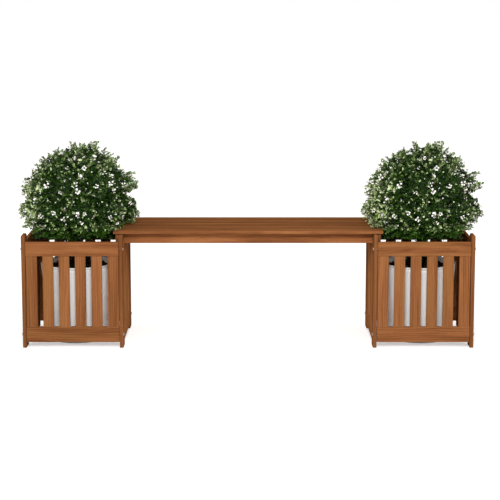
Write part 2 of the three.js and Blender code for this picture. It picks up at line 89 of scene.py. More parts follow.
class Tree:
    """The nodes of one material, added a line at a time round its shader."""

    def __init__(self, name: str) -> None:
        """Starts the material with a shader and an output.

        Args:
            name: the material's name.
        """
        self.material = bpy.data.materials.new(name)
        self.material.use_nodes = True
        self.nodes = self.material.node_tree.nodes
        self.nodes.clear()
        self.shader = self.nodes.new("ShaderNodeBsdfPrincipled")
        output = self.nodes.new("ShaderNodeOutputMaterial")
        self.feed(output, "Surface", self.shader.outputs["BSDF"])

    def feed(self, node: bpy.types.Node, key: str | int, value: Value | Sequence[float]) -> None:
        """Gives a node's input a value or a link.

        Args:
            node: the node.
            key: the input's name or place.
            value: a number, a row of numbers, or the socket to link.
        """
        if isinstance(value, bpy.types.NodeSocket):
            self.material.node_tree.links.new(value, node.inputs[key])
        else:
            node.inputs[key].default_value = value

    def add(
        self,
        kind: str,
        inputs: dict[str | int, Value | Sequence[float]] | None = None,
        **settings: object,
    ) -> bpy.types.Node:
        """Adds a node.

        Args:
            kind: the node's type.
            inputs: what its inputs get, by name or place.
            settings: its own settings.

        Returns:
            The node.
        """
        node = self.nodes.new(kind)
        for name, value in settings.items():
            setattr(node, name, value)
        for key, value in (inputs or {}).items():
            self.feed(node, key, value)
        return node

    def places(self) -> Socket:
        """The point of the surface, in metres from the piece's own origin at rest."""
        return self.add("ShaderNodeTexCoord").outputs["Object"]

    def mesh_level(self) -> Socket:
        """The level that each corner of the mesh was given."""
        return self.add("ShaderNodeAttribute", attribute_name="level").outputs["Fac"]

    def split(self, at: Socket) -> Sequence[Socket]:
        """A place's x, y and z."""
        return self.add("ShaderNodeSeparateXYZ", {0: at}).outputs

    def join(self, *values: Value) -> Socket:
        """The place with this x, y and z."""
        return self.add("ShaderNodeCombineXYZ", dict(enumerate(values))).outputs[0]

    def maths(self, how: str, *values: Value) -> Socket:
        """One step of arithmetic on one to three values."""
        return self.add("ShaderNodeMath", dict(enumerate(values)), operation=how).outputs[0]

    def plus(self, first: Value, second: Value) -> Socket:
        """The sum of two values."""
        return self.maths("ADD", first, second)

    def minus(self, first: Value, second: Value) -> Socket:
        """The first value less the second."""
        return self.maths("SUBTRACT", first, second)

    def times(self, first: Value, second: Value) -> Socket:
        """The product of two values."""
        return self.maths("MULTIPLY", first, second)

    def vector(self, how: str, first: Socket, second: Socket | Point) -> Socket:
        """One step of arithmetic on two places."""
        return self.add("ShaderNodeVectorMath", {0: first, 1: second}, operation=how).outputs[0]

    def stretch(self, at: Socket, scale: Point, shift: Point = (0.0, 0.0, 0.0)) -> Socket:
        """Scales a place axis by axis and then shifts it."""
        node = self.add("ShaderNodeMapping", {"Vector": at, "Scale": scale, "Location": shift})
        return node.outputs[0]

    def noise(self, at: Socket, scale: float | Point, detail: float = 4.0, roughness: float = 0.55) -> Socket:
        """Cloudy levels round a half, with more small parts as detail grows."""
        if isinstance(scale, tuple):
            at, scale = self.stretch(at, scale), 1.0
        inputs = {"Vector": at, "Scale": scale, "Detail": detail, "Roughness": roughness}
        return self.add("ShaderNodeTexNoise", inputs).outputs["Fac"]

    def swing(self, noise: Socket, reach: float) -> Socket:
        """Noise round nought that reaches half of a given reach to either side."""
        return self.times(self.minus(noise, 0.5), reach)

    def level(self, value: Socket, low: float, high: float, start: float = 0.0, end: float = 1.0) -> Socket:
        """Maps the range low to high onto start to end, and holds it there."""
        inputs = {"Value": value, "From Min": low, "From Max": high, "To Min": start, "To Max": end}
        return self.add("ShaderNodeMapRange", inputs).outputs["Result"]

    def spread(self, noise: Socket, ends: Span) -> Socket:
        """Maps the range that noise mostly keeps to, 0.3 to 0.7, onto two ends."""
        return self.level(noise, 0.3, 0.7, *ends)

    def choose(self, share: Socket, first: Socket, second: Socket) -> Socket:
        """The first value where the share is 0 and the second where it is 1."""
        # A mix node takes plain values at its inputs 2 and 3.
        return self.add("ShaderNodeMix", {0: share, 2: first, 3: second}, data_type="FLOAT").outputs[0]

    def blend(self, share: Value, first: Socket | Colour, second: Socket | Colour) -> Socket:
        """Mixes two colours by a share from 0, the first, to 1, the second."""
        # A mix node takes colours at its inputs 6 and 7 and gives one at its output 2.
        node = self.add("ShaderNodeMix", {0: share}, data_type="RGBA")
        for place, colour in ((6, first), (7, second)):
            self.feed(node, place, colour if isinstance(colour, bpy.types.NodeSocket) else (*colour, 1.0))
        return node.outputs[2]

    def ramp(self, level: Socket, stops: Stops) -> Socket:
        """Turns a level into a colour by way of stops.

        Args:
            level: the level.
            stops: the levels in rising order, each with its colour.

        Returns:
            The colour's socket.
        """
        node = self.add("ShaderNodeValToRGB", {"Fac": level})
        elements = node.color_ramp.elements
        (elements[0].position, first), (elements[1].position, last) = stops[0], stops[-1]
        elements[0].color, elements[1].color = (*first, 1.0), (*last, 1.0)
        for place, colour in stops[1:-1]:
            elements.new(place).color = (*colour, 1.0)
        return node.outputs["Color"]

    def brighten(self, colour: Socket, amount: Value) -> Socket:
        """Makes a colour brighter or darker by a factor."""
        return self.add("ShaderNodeHueSaturation", {"Color": colour, "Value": amount}).outputs["Color"]

    def relief(self, height: Socket, bump: Span) -> None:
        """Gives the shader a bump from a height, by its strength and its depth in metres."""
        inputs = {"Height": height, "Strength": bump[0], "Distance": bump[1]}
        self.feed(self.shader, "Normal", self.add("ShaderNodeBump", inputs).outputs["Normal"])

    def dress(self, inputs: dict[str, Value | Sequence[float]]) -> Material:
        """Gives the shader's inputs their values by name, and hands over the material."""
        for key, value in inputs.items():
            self.feed(self.shader, key, value)
        return self.material


def seen_rays(tree: bpy.types.NodeTree) -> Socket:
    """One for rays that reach the camera straight, by gloss or through glass, and nought for others.

    Args:
        tree: the nodes that the new ones are added to.

    Returns:
        The value's socket.
    """
    ray = tree.nodes.new("ShaderNodeLightPath").outputs
    seen = ray["Is Camera Ray"]
    for other in ("Is Glossy Ray", "Is Transmission Ray"):
        step = tree.nodes.new("ShaderNodeMath")
        step.operation = "MAXIMUM"
        tree.links.new(seen, step.inputs[0])
        tree.links.new(ray[other], step.inputs[1])
        seen = step.outputs[0]
    return seen


@dataclass(frozen=True)
class PaintedShadeFace:
    """A face across the bench's depth that painted shade darkens: its y, how far the painted shade reaches,
    and how dark it is.
    """

    place: float
    reach: float
    tone: float


@dataclass(frozen=True)
class WoodFinish:
    """Oiled reddish-brown hardwood with fine straight grain, darker streaks and short open pores."""

    browns: Stops = (
        (0.34, (0.133, 0.044, 0.016)),
        (0.52, (0.248, 0.093, 0.033)),
        (0.72, (0.354, 0.142, 0.053)),
    )
    amber: Colour = (0.312, 0.144, 0.045)
    pore: Colour = (0.070, 0.022, 0.009)
    roughness: Span = (0.72, 0.52)
    bump: Span = (0.35, 0.0005)
    # How often each pattern repeats in a metre along, across and through the board.
    sway_scale: Point = (2.4, 8.0, 8.0)
    cloud_scale: Point = (1.9, 38.0, 38.0)
    wave_scale: Point = (0.05, 1.0, 0.7)
    fibre_scale: Point = (7.0, 300.0, 300.0)
    pore_scale: Point = (42.0, 1300.0, 1300.0)
    drift_scale: Point = (1.3, 21.0, 21.0)
    drift_shift: Point = (5.0, 3.0, 1.0)
    # How far the grain sways, in metres, and how much each pattern adds to the figure.
    sway: float = 0.035
    cloud_share: float = 0.48
    wave_share: float = 0.10
    fibre_share: float = 0.46
    amber_share: float = 0.5
    pore_share: float = 0.55
    pore_depth: float = 0.5
    # How far apart in the pattern two boards and two slats of a panel lie.
    board_stride: Point = (1.7, 0.37, 0.53)
    slat_stride: Point = (9.0, 5.0, 3.0)
    slat_spread: float = 0.1

    def board(
        self, name: str, axis: GrainAxis, seed: float, tone: float, painted_shade_faces: Sequence[PaintedShadeFace] = ()
    ) -> Material:
        """The finish of a board that is cut from one piece.

        Args:
            name: the material's name.
            axis: the way the grain runs.
            seed: what sets this board's figure apart.
            tone: the board's brightness round 1.
            painted_shade_faces: the board's faces that are darker than the rest.

        Returns:
            The material.
        """
        tree = Tree(name)
        xyz = tree.split(tree.places())
        at = tree.join(*(xyz[source] for source in axis.value))
        shifted = tree.stretch(at, (1.0, 1.0, 1.0), tuple(seed * step for step in self.board_stride))
        shade: Value = tone
        # Each such face multiplies the tone down near its y: painted shade along the seat's seams and on
        # posts' outer faces.
        for face in painted_shade_faces:
            off = tree.maths("ABSOLUTE", tree.minus(xyz[1], face.place))
            shade = tree.times(shade, tree.level(off, 0.0, face.reach, face.tone, 1.0))
        return self._figure(tree, shifted, shade)

    def panel(
        self,
        name: str,
        rail_axis: GrainAxis,
        seed: float,
        tone: float,
        rail_top: float,
        first: float,
        pitch: float,
    ) -> Material:
        """The finish of a bottom rail glued with its uprights: each slat has its own figure.

        Args:
            name: the material's name.
            rail_axis: the way the rail's grain runs; the slats' grain is upright.
            seed: what sets this panel's figure apart.
            tone: the panel's brightness round 1.
            rail_top: the height up to which the panel is rail.
            first: where along the rail the first slat's share of the face starts.
            pitch: the distance from slat to slat.

        Returns:
            The material.
        """
        tree = Tree(name)
        xyz = tree.split(tree.places())
        along, through = xyz[rail_axis.value[0]], xyz[1 if rail_axis is GrainAxis.ALONG_BENCH else 0]
        rail = tree.maths("LESS_THAN", xyz[2], rail_top)
        slat = tree.maths("FLOOR", tree.maths("DIVIDE", tree.minus(along, first), pitch))
        key = tree.plus(tree.times(slat, tree.minus(1.0, rail)), seed)
        chance = tree.add("ShaderNodeTexWhiteNoise", {"W": key}, noise_dimensions="1D").outputs
        at = tree.join(tree.choose(rail, xyz[2], along), tree.choose(rail, along, xyz[2]), through)
        moved = tree.vector("ADD", at, tree.vector("MULTIPLY", chance["Color"], self.slat_stride))
        shade = tree.level(chance["Value"], 0.0, 1.0, tone - self.slat_spread, tone + self.slat_spread)
        return self._figure(tree, moved, shade)

    def _figure(self, tree: Tree, at: Socket, tone: Value) -> Material:
        """Draws the grain.

        Args:
            tree: the material's nodes.
            at: the place on the board, with the grain along x.
            tone: the board's brightness round 1.

        Returns:
            The material.
        """
        sway = tree.swing(tree.noise(at, self.sway_scale, 2.0), self.sway)
        bent = tree.vector("ADD", at, tree.join(0.0, sway))
        clouds = tree.noise(bent, self.cloud_scale, 3.0, 0.5)
        banded = {"Vector": tree.stretch(bent, self.wave_scale), "Scale": 34.0, "Distortion": 5.0}
        banded |= {"Detail": 2.5, "Detail Scale": 0.9}
        waves = tree.add("ShaderNodeTexWave", banded, bands_direction="Y").outputs["Fac"]
        fibres = tree.noise(bent, self.fibre_scale, 4.0, 0.62)
        pores = tree.level(tree.noise(bent, self.pore_scale, 2.0, 0.5), 0.60, 0.72)
        streaks = tree.plus(tree.times(waves, self.wave_share), tree.times(fibres, self.fibre_share))
        figure = tree.plus(tree.times(clouds, self.cloud_share), streaks)
        drifts = tree.noise(tree.stretch(bent, self.drift_scale, self.drift_shift), 1.0, 2.0)
        drift = tree.level(drifts, 0.48, 0.70, 0.0, self.amber_share)
        wood = tree.brighten(tree.blend(drift, tree.ramp(figure, self.browns), self.amber), tone)
        tree.relief(tree.minus(fibres, tree.times(pores, self.pore_depth)), self.bump)
        return tree.dress(
            {
                "Base Color": tree.blend(tree.times(pores, self.pore_share), wood, self.pore),
                "Roughness": tree.spread(fibres, self.roughness),
                "Specular IOR Level": 0.0,
            }
        )


@dataclass(frozen=True)
class ZincFinish:
    """Zinc-plated steel with a dull spangle, and dark where the mesh's level is nought, on the shanks."""

    plate: Stops = ((0.35, (0.22, 0.18, 0.15)), (0.62, (0.38, 0.32, 0.26)))
    shank: Colour = (0.045, 0.038, 0.032)
    spangle_scale: float = 420.0
    roughness: Span = (0.46, 0.30)
    gloss: float = 0.1
    bump: Span = (0.12, 0.0002)

    def material(self) -> Material:
        """Makes the material."""
        tree = Tree("zinc_plated_steel")
        spots = tree.noise(tree.places(), self.spangle_scale, 3.0)
        head = tree.mesh_level()
        tree.relief(spots, self.bump)
        return tree.dress(
            {
                "Base Color": tree.blend(head, self.shank, tree.ramp(spots, self.plate)),
                "Roughness": tree.spread(spots, self.roughness),
                "Metallic": head,
                "Specular IOR Level": self.gloss,
            }
        )


@dataclass(frozen=True)
class PotFinish:
    """Smooth white planter plastic with a soft gloss, a dusty foot, and a dark soil line inside that is drawn
    nearly black up towards the rim as painted shade.
    """

    whites: Stops = ((0.35, (0.955, 0.95, 0.93)), (0.62, (0.98, 0.975, 0.96)))
    dust: Colour = (0.86, 0.835, 0.79)
    stain_and_shade: Colour = (0.022, 0.015, 0.010)
    cloud_scale: float = 7.0
    roughness: Span = (0.42, 0.32)
    # The gloss of the clean wall and of the soil-darkened one, whose dull black is partly painted shade.
    gloss: Span = (0.85, 0.1)
    grain_scale: float = 160.0
    bump: Span = (0.05, 0.0004)
    # The dust ends at a wavy line low on the wall, and the dark soil line, partly painted shade, at a wavy
    # line above the soil.
    dust_heights: Span = (0.042, 0.012)
    dust_share: float = 0.5
    stain_and_shade_heights: Span = (0.306, 0.312)
    wave_scale: float = 45.0
    wave_height: float = 0.03
    # The middle of the wall's thickness: its radius at the foot, and how much wider it is a metre up.
    mid_wall: float = 0.120
    slope: float = 0.086
    wall_blur: float = 0.001

    def material(self) -> Material:
        """Makes the material."""
        tree = Tree("white_pot")
        at = tree.places()
        x, y, height = tree.split(at)
        clouds = tree.noise(at, self.cloud_scale, 5.0)
        line = tree.plus(height, tree.times(tree.noise(at, self.wave_scale, 5.0), self.wave_height))
        dust = tree.level(line, *self.dust_heights, 0.0, self.dust_share)
        reach = tree.maths("SQRT", tree.maths("MULTIPLY_ADD", x, x, tree.times(y, y)))
        wall = tree.minus(reach, tree.times(height, self.slope))
        inside = tree.level(wall, self.mid_wall - self.wall_blur, self.mid_wall + self.wall_blur, 1.0, 0.0)
        # The inner wall above the soil is darkened nearly black: partly a soil line, partly painted shade.
        stain_and_shade = tree.times(inside, tree.level(line, *self.stain_and_shade_heights, 1.0, 0.0))
        dusty = tree.blend(dust, tree.ramp(clouds, self.whites), self.dust)
        tree.relief(tree.noise(at, self.grain_scale, 2.0), self.bump)
        return tree.dress(
            {
                "Base Color": tree.blend(stain_and_shade, dusty, self.stain_and_shade),
                "Roughness": tree.spread(clouds, self.roughness),
                "Specular IOR Level": tree.level(stain_and_shade, 0.0, 1.0, *self.gloss),
            }
        )


@dataclass(frozen=True)
class SoilFinish:
    """Moist, crumbly dark potting soil."""

    browns: Stops = ((0.38, (0.012, 0.008, 0.005)), (0.75, (0.060, 0.036, 0.022)))
    lump_scale: float = 190.0
    lump_share: float = 0.5
    grit_scale: float = 260.0
    grit_share: float = 0.7
    roughness: Span = (0.95, 0.75)
    bump: Span = (0.8, 0.002)

    def material(self) -> Material:
        """Makes the material."""
        tree = Tree("potting_soil")
        at = tree.places()
        lumps = tree.add("ShaderNodeTexVoronoi", {"Vector": at, "Scale": self.lump_scale}).outputs["Distance"]
        grit = tree.noise(at, self.grit_scale, 6.0, 0.65)
        mixed = tree.plus(tree.times(lumps, self.lump_share), tree.times(grit, self.grit_share))
        tree.relief(mixed, self.bump)
        soil = tree.ramp(mixed, self.browns)
        return tree.dress({"Base Color": soil, "Roughness": tree.spread(grit, self.roughness)})


@dataclass(frozen=True)
class LeafFinish:
    """Small leaves, from nearly black green, painted shade inside the crown, by fresh green to pale green at
    sprig tips and as painted glints.
    """

    # The lowest levels paint shade and the highest paint glints.
    greens_with_painted_light: Stops = (
        (0.0, (0.004, 0.013, 0.002)),
        (0.42, (0.025, 0.074, 0.005)),
        (0.78, (0.096, 0.205, 0.016)),
        (1.0, (0.63, 0.72, 0.39)),
    )
    underside: Colour = (0.10, 0.15, 0.06)
    underside_share: float = 0.6
    mottle_scale: float = 320.0
    mottle_reach: float = 0.35
    roughness: Span = (0.24, 0.40)
    gloss: float = 0.08
    vein_scale: float = 700.0
    bump: Span = (0.2, 0.0004)

    def material(self) -> Material:
        """Makes the material."""
        tree = Tree("shrub_leaf")
        at = tree.places()
        mottle = tree.swing(tree.noise(at, self.mottle_scale, 3.0), self.mottle_reach)
        top = tree.ramp(tree.plus(tree.mesh_level(), mottle), self.greens_with_painted_light)
        back = tree.add("ShaderNodeNewGeometry").outputs["Backfacing"]
        tree.relief(tree.noise(at, self.vein_scale, 2.0), self.bump)
        return tree.dress(
            {
                "Base Color": tree.blend(tree.times(back, self.underside_share), top, self.underside),
                "Roughness": tree.level(mottle, -0.1, 0.1, *self.roughness),
                "Specular IOR Level": self.gloss,
            }
        )


@dataclass(frozen=True)
class PetalFinish:
    """White petals with a faint green and pink flush at their foot and fine veins."""

    whites: Stops = ((0.22, (0.46, 0.36, 0.22)), (0.42, (0.90, 0.89, 0.86)))
    vein_scale: float = 520.0
    vein_reach: float = 0.3
    roughness: Span = (0.62, 0.5)
    bump: Span = (0.15, 0.0003)

    def material(self) -> Material:
        """Makes the material."""
        tree = Tree("white_petal")
        veins = tree.noise(tree.places(), self.vein_scale, 3.0)
        along = tree.plus(tree.mesh_level(), tree.swing(veins, self.vein_reach))
        tree.relief(veins, self.bump)
        petal = tree.ramp(along, self.whites)
        return tree.dress({"Base Color": petal, "Roughness": tree.spread(veins, self.roughness)})


@dataclass(frozen=True)
class HeartFinish:
    """The flowers' hearts: olive domes with ochre anthers."""

    tints: Stops = ((0.2, (0.075, 0.085, 0.025)), (0.8, (0.34, 0.20, 0.12)))
    grain_scale: float = 900.0
    grain_reach: float = 0.5
    roughness: Span = (0.8, 0.6)

    def material(self) -> Material:
        """Makes the material."""
        tree = Tree("flower_heart")
        grain = tree.noise(tree.places(), self.grain_scale, 2.0)
        heart = tree.ramp(tree.plus(tree.mesh_level(), tree.swing(grain, self.grain_reach)), self.tints)
        return tree.dress({"Base Color": heart, "Roughness": tree.spread(grain, self.roughness)})


@dataclass(frozen=True)
class BarkFinish:
    """Grey-brown bark on the thin stems."""

    browns: Stops = ((0.32, (0.062, 0.041, 0.025)), (0.68, (0.20, 0.145, 0.095)))
    scale: Point = (260.0, 260.0, 60.0)
    roughness: Span = (0.9, 0.7)
    bump: Span = (0.5, 0.0008)

    def material(self) -> Material:
        """Makes the material."""
        tree = Tree("stem_bark")
        bark = tree.noise(tree.places(), self.scale, 5.0, 0.6)
        tree.relief(bark, self.bump)
        brown = tree.ramp(bark, self.browns)
        return tree.dress({"Base Color": brown, "Roughness": tree.spread(bark, self.roughness)})


@dataclass(frozen=True)
class FloorFinish:
    """A white studio floor that glows for the rays that see it, and that keeps the bench's shadow."""

    white: Colour = (0.925, 0.90, 0.88)
    roughness: float = 0.9
    glow: float = 0.45

    def material(self) -> Material:
        """Makes the material."""
        tree = Tree("studio_floor")
        return tree.dress(
            {
                "Base Color": (*self.white, 1.0),
                "Roughness": self.roughness,
                "Specular IOR Level": 0.0,
                "Emission Color": (1.0, 1.0, 1.0, 1.0),
                "Emission Strength": tree.times(seen_rays(tree.material.node_tree), self.glow),
            }
        )


@dataclass
class Patch:
    """Corners and faces gathered for one mesh, with a level at each corner for its finish to read."""

    corners: list[Array] = field(default_factory=list)
    faces: list[Array] = field(default_factory=list)
    levels: list[Array] = field(default_factory=list)
    count: int = 0

    def add(self, corners: Array, faces: Array, levels: Array | float = 0.5) -> None:
        """Adds a group of faces.

        Args:
            corners: the corners, a row each.
            faces: the faces, a row of corner numbers each.
            levels: the level of each corner, or one for all.
        """
        self.corners.append(corners)
        self.faces.append(faces + self.count)
        self.levels.append(np.broadcast_to(np.asarray(levels, float), len(corners)))
        self.count += len(corners)

    def repeat(self, shape: Array, faces: Array, origins: Array, axes: Array, levels: Array) -> None:
        """Adds copies of a small shape.

        Args:
            shape: the shape's corners, a row each.
            faces: its faces, a row of corner numbers each.
            origins: where each copy goes.
            axes: for each copy, the three rows that the shape's x, y and z become.
            levels: a level for each copy, or for each corner of each copy.
        """
        corners = origins[:, None, :] + np.einsum("kc,ncd->nkd", shape, axes)
        numbers = faces[None] + len(shape) * np.arange(len(origins))[:, None, None]
        spread = np.broadcast_to(levels.reshape(len(origins), -1), (len(origins), len(shape)))
        self.add(corners.reshape(-1, 3), numbers.reshape(-1, faces.shape[1]), spread.ravel())

    def tubes(self, paths: Array, radii: Span, sides: int, levels: float = 0.5) -> None:
        """Adds a tube round each path, open at its ends.

        Args:
            paths: the paths, each a row of points.
            radii: the radius at a path's start and at its end.
            sides: the number of sides.
            levels: the level of all corners.
        """
        ahead = unit(np.gradient(paths, axis=1))
        aside = unit(np.cross(ahead, TUBE_SIDE))
        other = np.cross(ahead, aside)
        turns = np.linspace(0, 2 * math.pi, sides, endpoint=False)
        around = aside[:, :, None] * np.cos(turns)[:, None] + other[:, :, None] * np.sin(turns)[:, None]
        many, rows = paths.shape[:2]
        corners = paths[:, :, None] + around * np.linspace(*radii, rows)[None, :, None, None]
        number = np.arange(many * rows * sides).reshape(many, rows, sides)
        onward = np.roll(number, -1, axis=2)
        faces = np.stack([number[:, :-1], onward[:, :-1], onward[:, 1:], number[:, 1:]], axis=-1)
        self.add(corners.reshape(-1, 3), faces.reshape(-1, 4), levels)

    def build(self, name: str, smooth: bool) -> Mesh:
        """Makes the mesh.

        Args:
            name: its name.
            smooth: whether its faces are shaded smooth.

        Returns:
            The mesh.
        """
        mesh = bpy.data.meshes.new(name)
        mesh.vertices.add(self.count)
        mesh.vertices.foreach_set("co", np.concatenate(self.corners).ravel())
        loops = np.concatenate([group.ravel() for group in self.faces])
        sizes = np.concatenate([np.full(len(group), group.shape[1]) for group in self.faces])
        mesh.loops.add(len(loops))
        mesh.loops.foreach_set("vertex_index", loops)
        mesh.polygons.add(len(sizes))
        mesh.polygons.foreach_set("loop_start", np.cumsum(sizes) - sizes)
        mesh.polygons.foreach_set("use_smooth", np.full(len(sizes), smooth))
        mesh.attributes.new("level", "FLOAT", "POINT").data.foreach_set("value", np.concatenate(self.levels))
        mesh.update(calc_edges=True)
        mesh.validate()
        return mesh


def unit(rows: Array) -> Array:
    """The rows, each scaled to length one."""
    return rows / np.maximum(np.linalg.norm(rows, axis=-1, keepdims=True), 1e-9)


def lathe(profile: Sequence[tuple[float, float]], sides: int) -> tuple[Array, Array]:
    """Turns a profile round the z axis.

    Args:
        profile: the radius and the height of each of its points.
        sides: the number of sides.

    Returns:
        The corners and the faces.
    """
    rows = np.array(profile)
    turns = np.linspace(0, 2 * math.pi, sides, endpoint=False)
    across, height = np.broadcast_arrays(rows[:, :1], rows[:, 1:] + 0 * turns)
    corners = np.stack([across * np.cos(turns), across * np.sin(turns), height], axis=-1)
    number = np.arange(len(rows) * sides).reshape(len(rows), sides)
    onward = np.roll(number, -1, axis=1)
    faces = np.stack([number[:-1], onward[:-1], onward[1:], number[1:]], axis=-1)
    return corners.reshape(-1, 3), faces.reshape(-1, 4)


def show(name: str, mesh: Mesh, material: Material, at: Point = (0.0, 0.0, 0.0)) -> bpy.types.Object:
    """Puts a mesh in the scene.

    Args:
        name: the piece's name.
        mesh: its mesh.
        material: its finish.
        at: where its origin goes.

    Returns:
        The piece.
    """
    piece = bpy.data.objects.new(name, mesh)
    bpy.context.scene.collection.objects.link(piece)
    if material.name not in mesh.materials:
        mesh.materials.append(material)
    piece.location = at
    return piece


@dataclass
class Timbers:
    """The boards of both planters and of the seat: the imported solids, each with a finish of its own."""

    rail_top: float = 0.0855
    planter_centre: float = 0.699
    slat_pitch: float = 0.0646
    side_slat_pitch: float = 0.064
    pitches_a_side: int = 3
    first_seed: float = 3.0
    seed_step: float = 2.3
    panel_seed_step: float = 11.0
    seat_edge: float = 0.17
    # Painted shade: a band along each seam between seat slats, and on each post's narrow outer face.
    seam_shade_reach: float = 0.006
    seam_shade_tone: float = 0.4
    edge_shade_reach: float = 0.004
    edge_shade_tone: float = 0.86
    # Tones round 1 by board; the apron's, the inner panels' and the inner top rails' are raised as painted
    # light against the seat's shade.
    tones_and_painted_light: tuple[tuple[str, float], ...] = (
        ("seat_slat_3", 0.88),
        ("seat_slat_4", 1.00),
        ("seat_slat_5", 0.92),
        ("seat_slat", 0.95),
        ("post", 0.88),
        ("apron", 1.20),
        ("cleat", 0.85),
        ("inner_slatted_panel", 1.24),
        ("inner_top_rail", 1.18),
        ("top_rail", 0.97),
    )

    def dress(self, finish: WoodFinish) -> None:
        """Gives each board its finish.

        Args:
            finish: the wood.
        """
        wooden = [name for name in sorted(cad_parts) if self._axis(name)]
        for number, name in enumerate(wooden):
            if "panel" in name:
                material = self._panel(finish, name, number)
            else:
                faces, seed = self._painted_shade_faces(name), self.first_seed + self.seed_step * number
                material = finish.board(f"wood_{name}", self._axis(name), seed, self._tone(name), faces)
            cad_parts[name].material_slots[0].material = material
        log.info("timbers: %d boards and panels dressed", len(wooden))

    def _painted_shade_faces(self, name: str) -> list[PaintedShadeFace]:
        """The sides of a seat slat that face a seam, or a post's narrow outer edge, which get painted shade.

        Args:
            name: the node's name.

        Returns:
            The faces that painted shade darkens.
        """
        sides = [corner.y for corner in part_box(name)]
        if "seat_slat" in name:
            seams = [side for side in sides if abs(side) < self.seat_edge]
            return [PaintedShadeFace(side, self.seam_shade_reach, self.seam_shade_tone) for side in seams]
        if name.endswith("post"):
            return [PaintedShadeFace(max(sides, key=abs), self.edge_shade_reach, self.edge_shade_tone)]
        return []

    def _panel(self, finish: WoodFinish, name: str, number: int) -> Material:
        """The finish of one slatted panel.

        Args:
            finish: the wood.
            name: the node's name.
            number: the panel's number among the wooden nodes.

        Returns:
            The material.
        """
        side = Side.LEFT if name.startswith("left") else Side.RIGHT
        facing = "front" in name or "back" in name
        middle = side.value * self.planter_centre if facing else 0.0
        pitch = self.slat_pitch if facing else self.side_slat_pitch
        seed, first = self.panel_seed_step * number, middle - self.pitches_a_side * pitch
        axis, tone = self._axis(name), self._tone(name)
        return finish.panel(f"wood_{name}", axis, seed, tone, self.rail_top, first, pitch)

    @staticmethod
    def _axis(name: str) -> GrainAxis | None:
        """The way a node's grain runs, or None where it isn't wood."""
        if name.endswith("post"):
            return GrainAxis.UPRIGHT
        if name.endswith("apron") or "slat_" in name:
            return GrainAxis.ALONG_BENCH
        if name.endswith(("top_rail", "slatted_panel")):
            return GrainAxis.ALONG_BENCH if "front" in name or "back" in name else GrainAxis.FRONT_TO_BACK
        return GrainAxis.FRONT_TO_BACK if name.endswith(("middle_rail", "end_rail", "cleat")) else None

    def _tone(self, name: str) -> float:
        """A board's brightness round 1, by its name, raised as painted light on boards in the seat's shade.
        """
        return next((tone for part, tone in self.tones_and_painted_light if part in name), 1.0)


@dataclass
class Bolts:
    """The bolts: a low domed head with a hexagonal socket, a shank, and a nut on the seat's."""

    head_radius: float = 0.0065
    head_height: float = 0.0032
    socket_radius: float = 0.0021
    socket_depth: float = 0.0018
    shank_radius: float = 0.0029
    seat_shank_share: float = 0.84
    nut_radius: float = 0.005
    nut_height: float = 0.005
    nut_edge: float = 0.0006
    sides: int = 36

    def build(self, material: Material) -> None:
        """Makes every bolt in the place of its solid.

        Args:
            material: the steel's finish.
        """
        names = [name for name in sorted(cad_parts) if name.endswith("bolt")]
        for name in names:
            low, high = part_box(name)
            facing = self._facing(name)
            tip, end = (high.x, low.x) if facing > 0 else (low.x, high.x)
            mesh = self._mesh(name, abs(tip - end), "seat" in name)
            piece = show(f"{name}_detail", mesh, material, (tip, (low.y + high.y) / 2, (low.z + high.z) / 2))
            piece.rotation_euler = (0.0, facing * math.pi / 2, 0.0)
            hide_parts(name)
            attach(piece, "bench")
        log.info("bolts: %d", len(names))

    @staticmethod
    def _facing(name: str) -> int:
        """The sign of x that a bolt's head faces."""
        side = Side.LEFT if name.startswith("left") else Side.RIGHT
        return side.value if "outer" in name else -side.value

    def _mesh(self, name: str, length: float, nut: bool) -> Mesh:
        """A bolt whose head's top is at the origin, with its shank towards minus z.

        Args:
            name: the mesh's name.
            length: the bolt's whole length.
            nut: whether a nut ends it.

        Returns:
            The mesh.
        """
        shank = self.shank_radius * (self.seat_shank_share if nut else 1.0)
        rim = self.head_height * 0.72
        # Radii and heights, from the socket's floor over the domed head down to the shank's end.
        profile = [
            (0.0002, -self.socket_depth),
            (self.socket_radius * 0.96, -self.socket_depth),
            (self.socket_radius, -0.0002),
            (self.socket_radius * 1.08, 0.0),
            (self.head_radius * 0.55, -0.0001),
            (self.head_radius * 0.8, -rim * 0.3),
            (self.head_radius * 0.96, -rim * 0.75),
            (self.head_radius, -rim),
            (self.head_radius, -self.head_height),
            (shank, -self.head_height),
            (shank, -length + 0.001),
            (shank * 0.7, -length),
            (0.0001, -length),
        ]
        corners, faces = lathe(profile, self.sides)
        # The socket's round wall is drawn in to the six flats of a hexagon.
        turns = np.arctan2(corners[:, 1], corners[:, 0])
        flat = math.cos(math.pi / 6) / np.cos((turns % (math.pi / 3)) - math.pi / 6)
        inside = np.hypot(corners[:, 0], corners[:, 1]) < self.socket_radius * 1.01
        corners[:, :2] *= np.where(inside & (corners[:, 2] > -self.socket_depth * 1.1), flat, 1.0)[:, None]
        patch = Patch()
        patch.add(corners, faces, (corners[:, 2] > -self.head_height * 1.01).astype(float))
        if nut:
            radius, high, edge = self.nut_radius, self.nut_height, self.nut_edge
            low_half = [(shank, 0.0), (radius - edge, 0.0), (radius, edge)]
            ring = low_half + [(across, high - z) for across, z in reversed(low_half)]
            nut_corners, nut_faces = lathe([(across, z - length) for across, z in ring], 6)
            patch.add(nut_corners, nut_faces[:, ::-1])
        return patch.build(name, False)


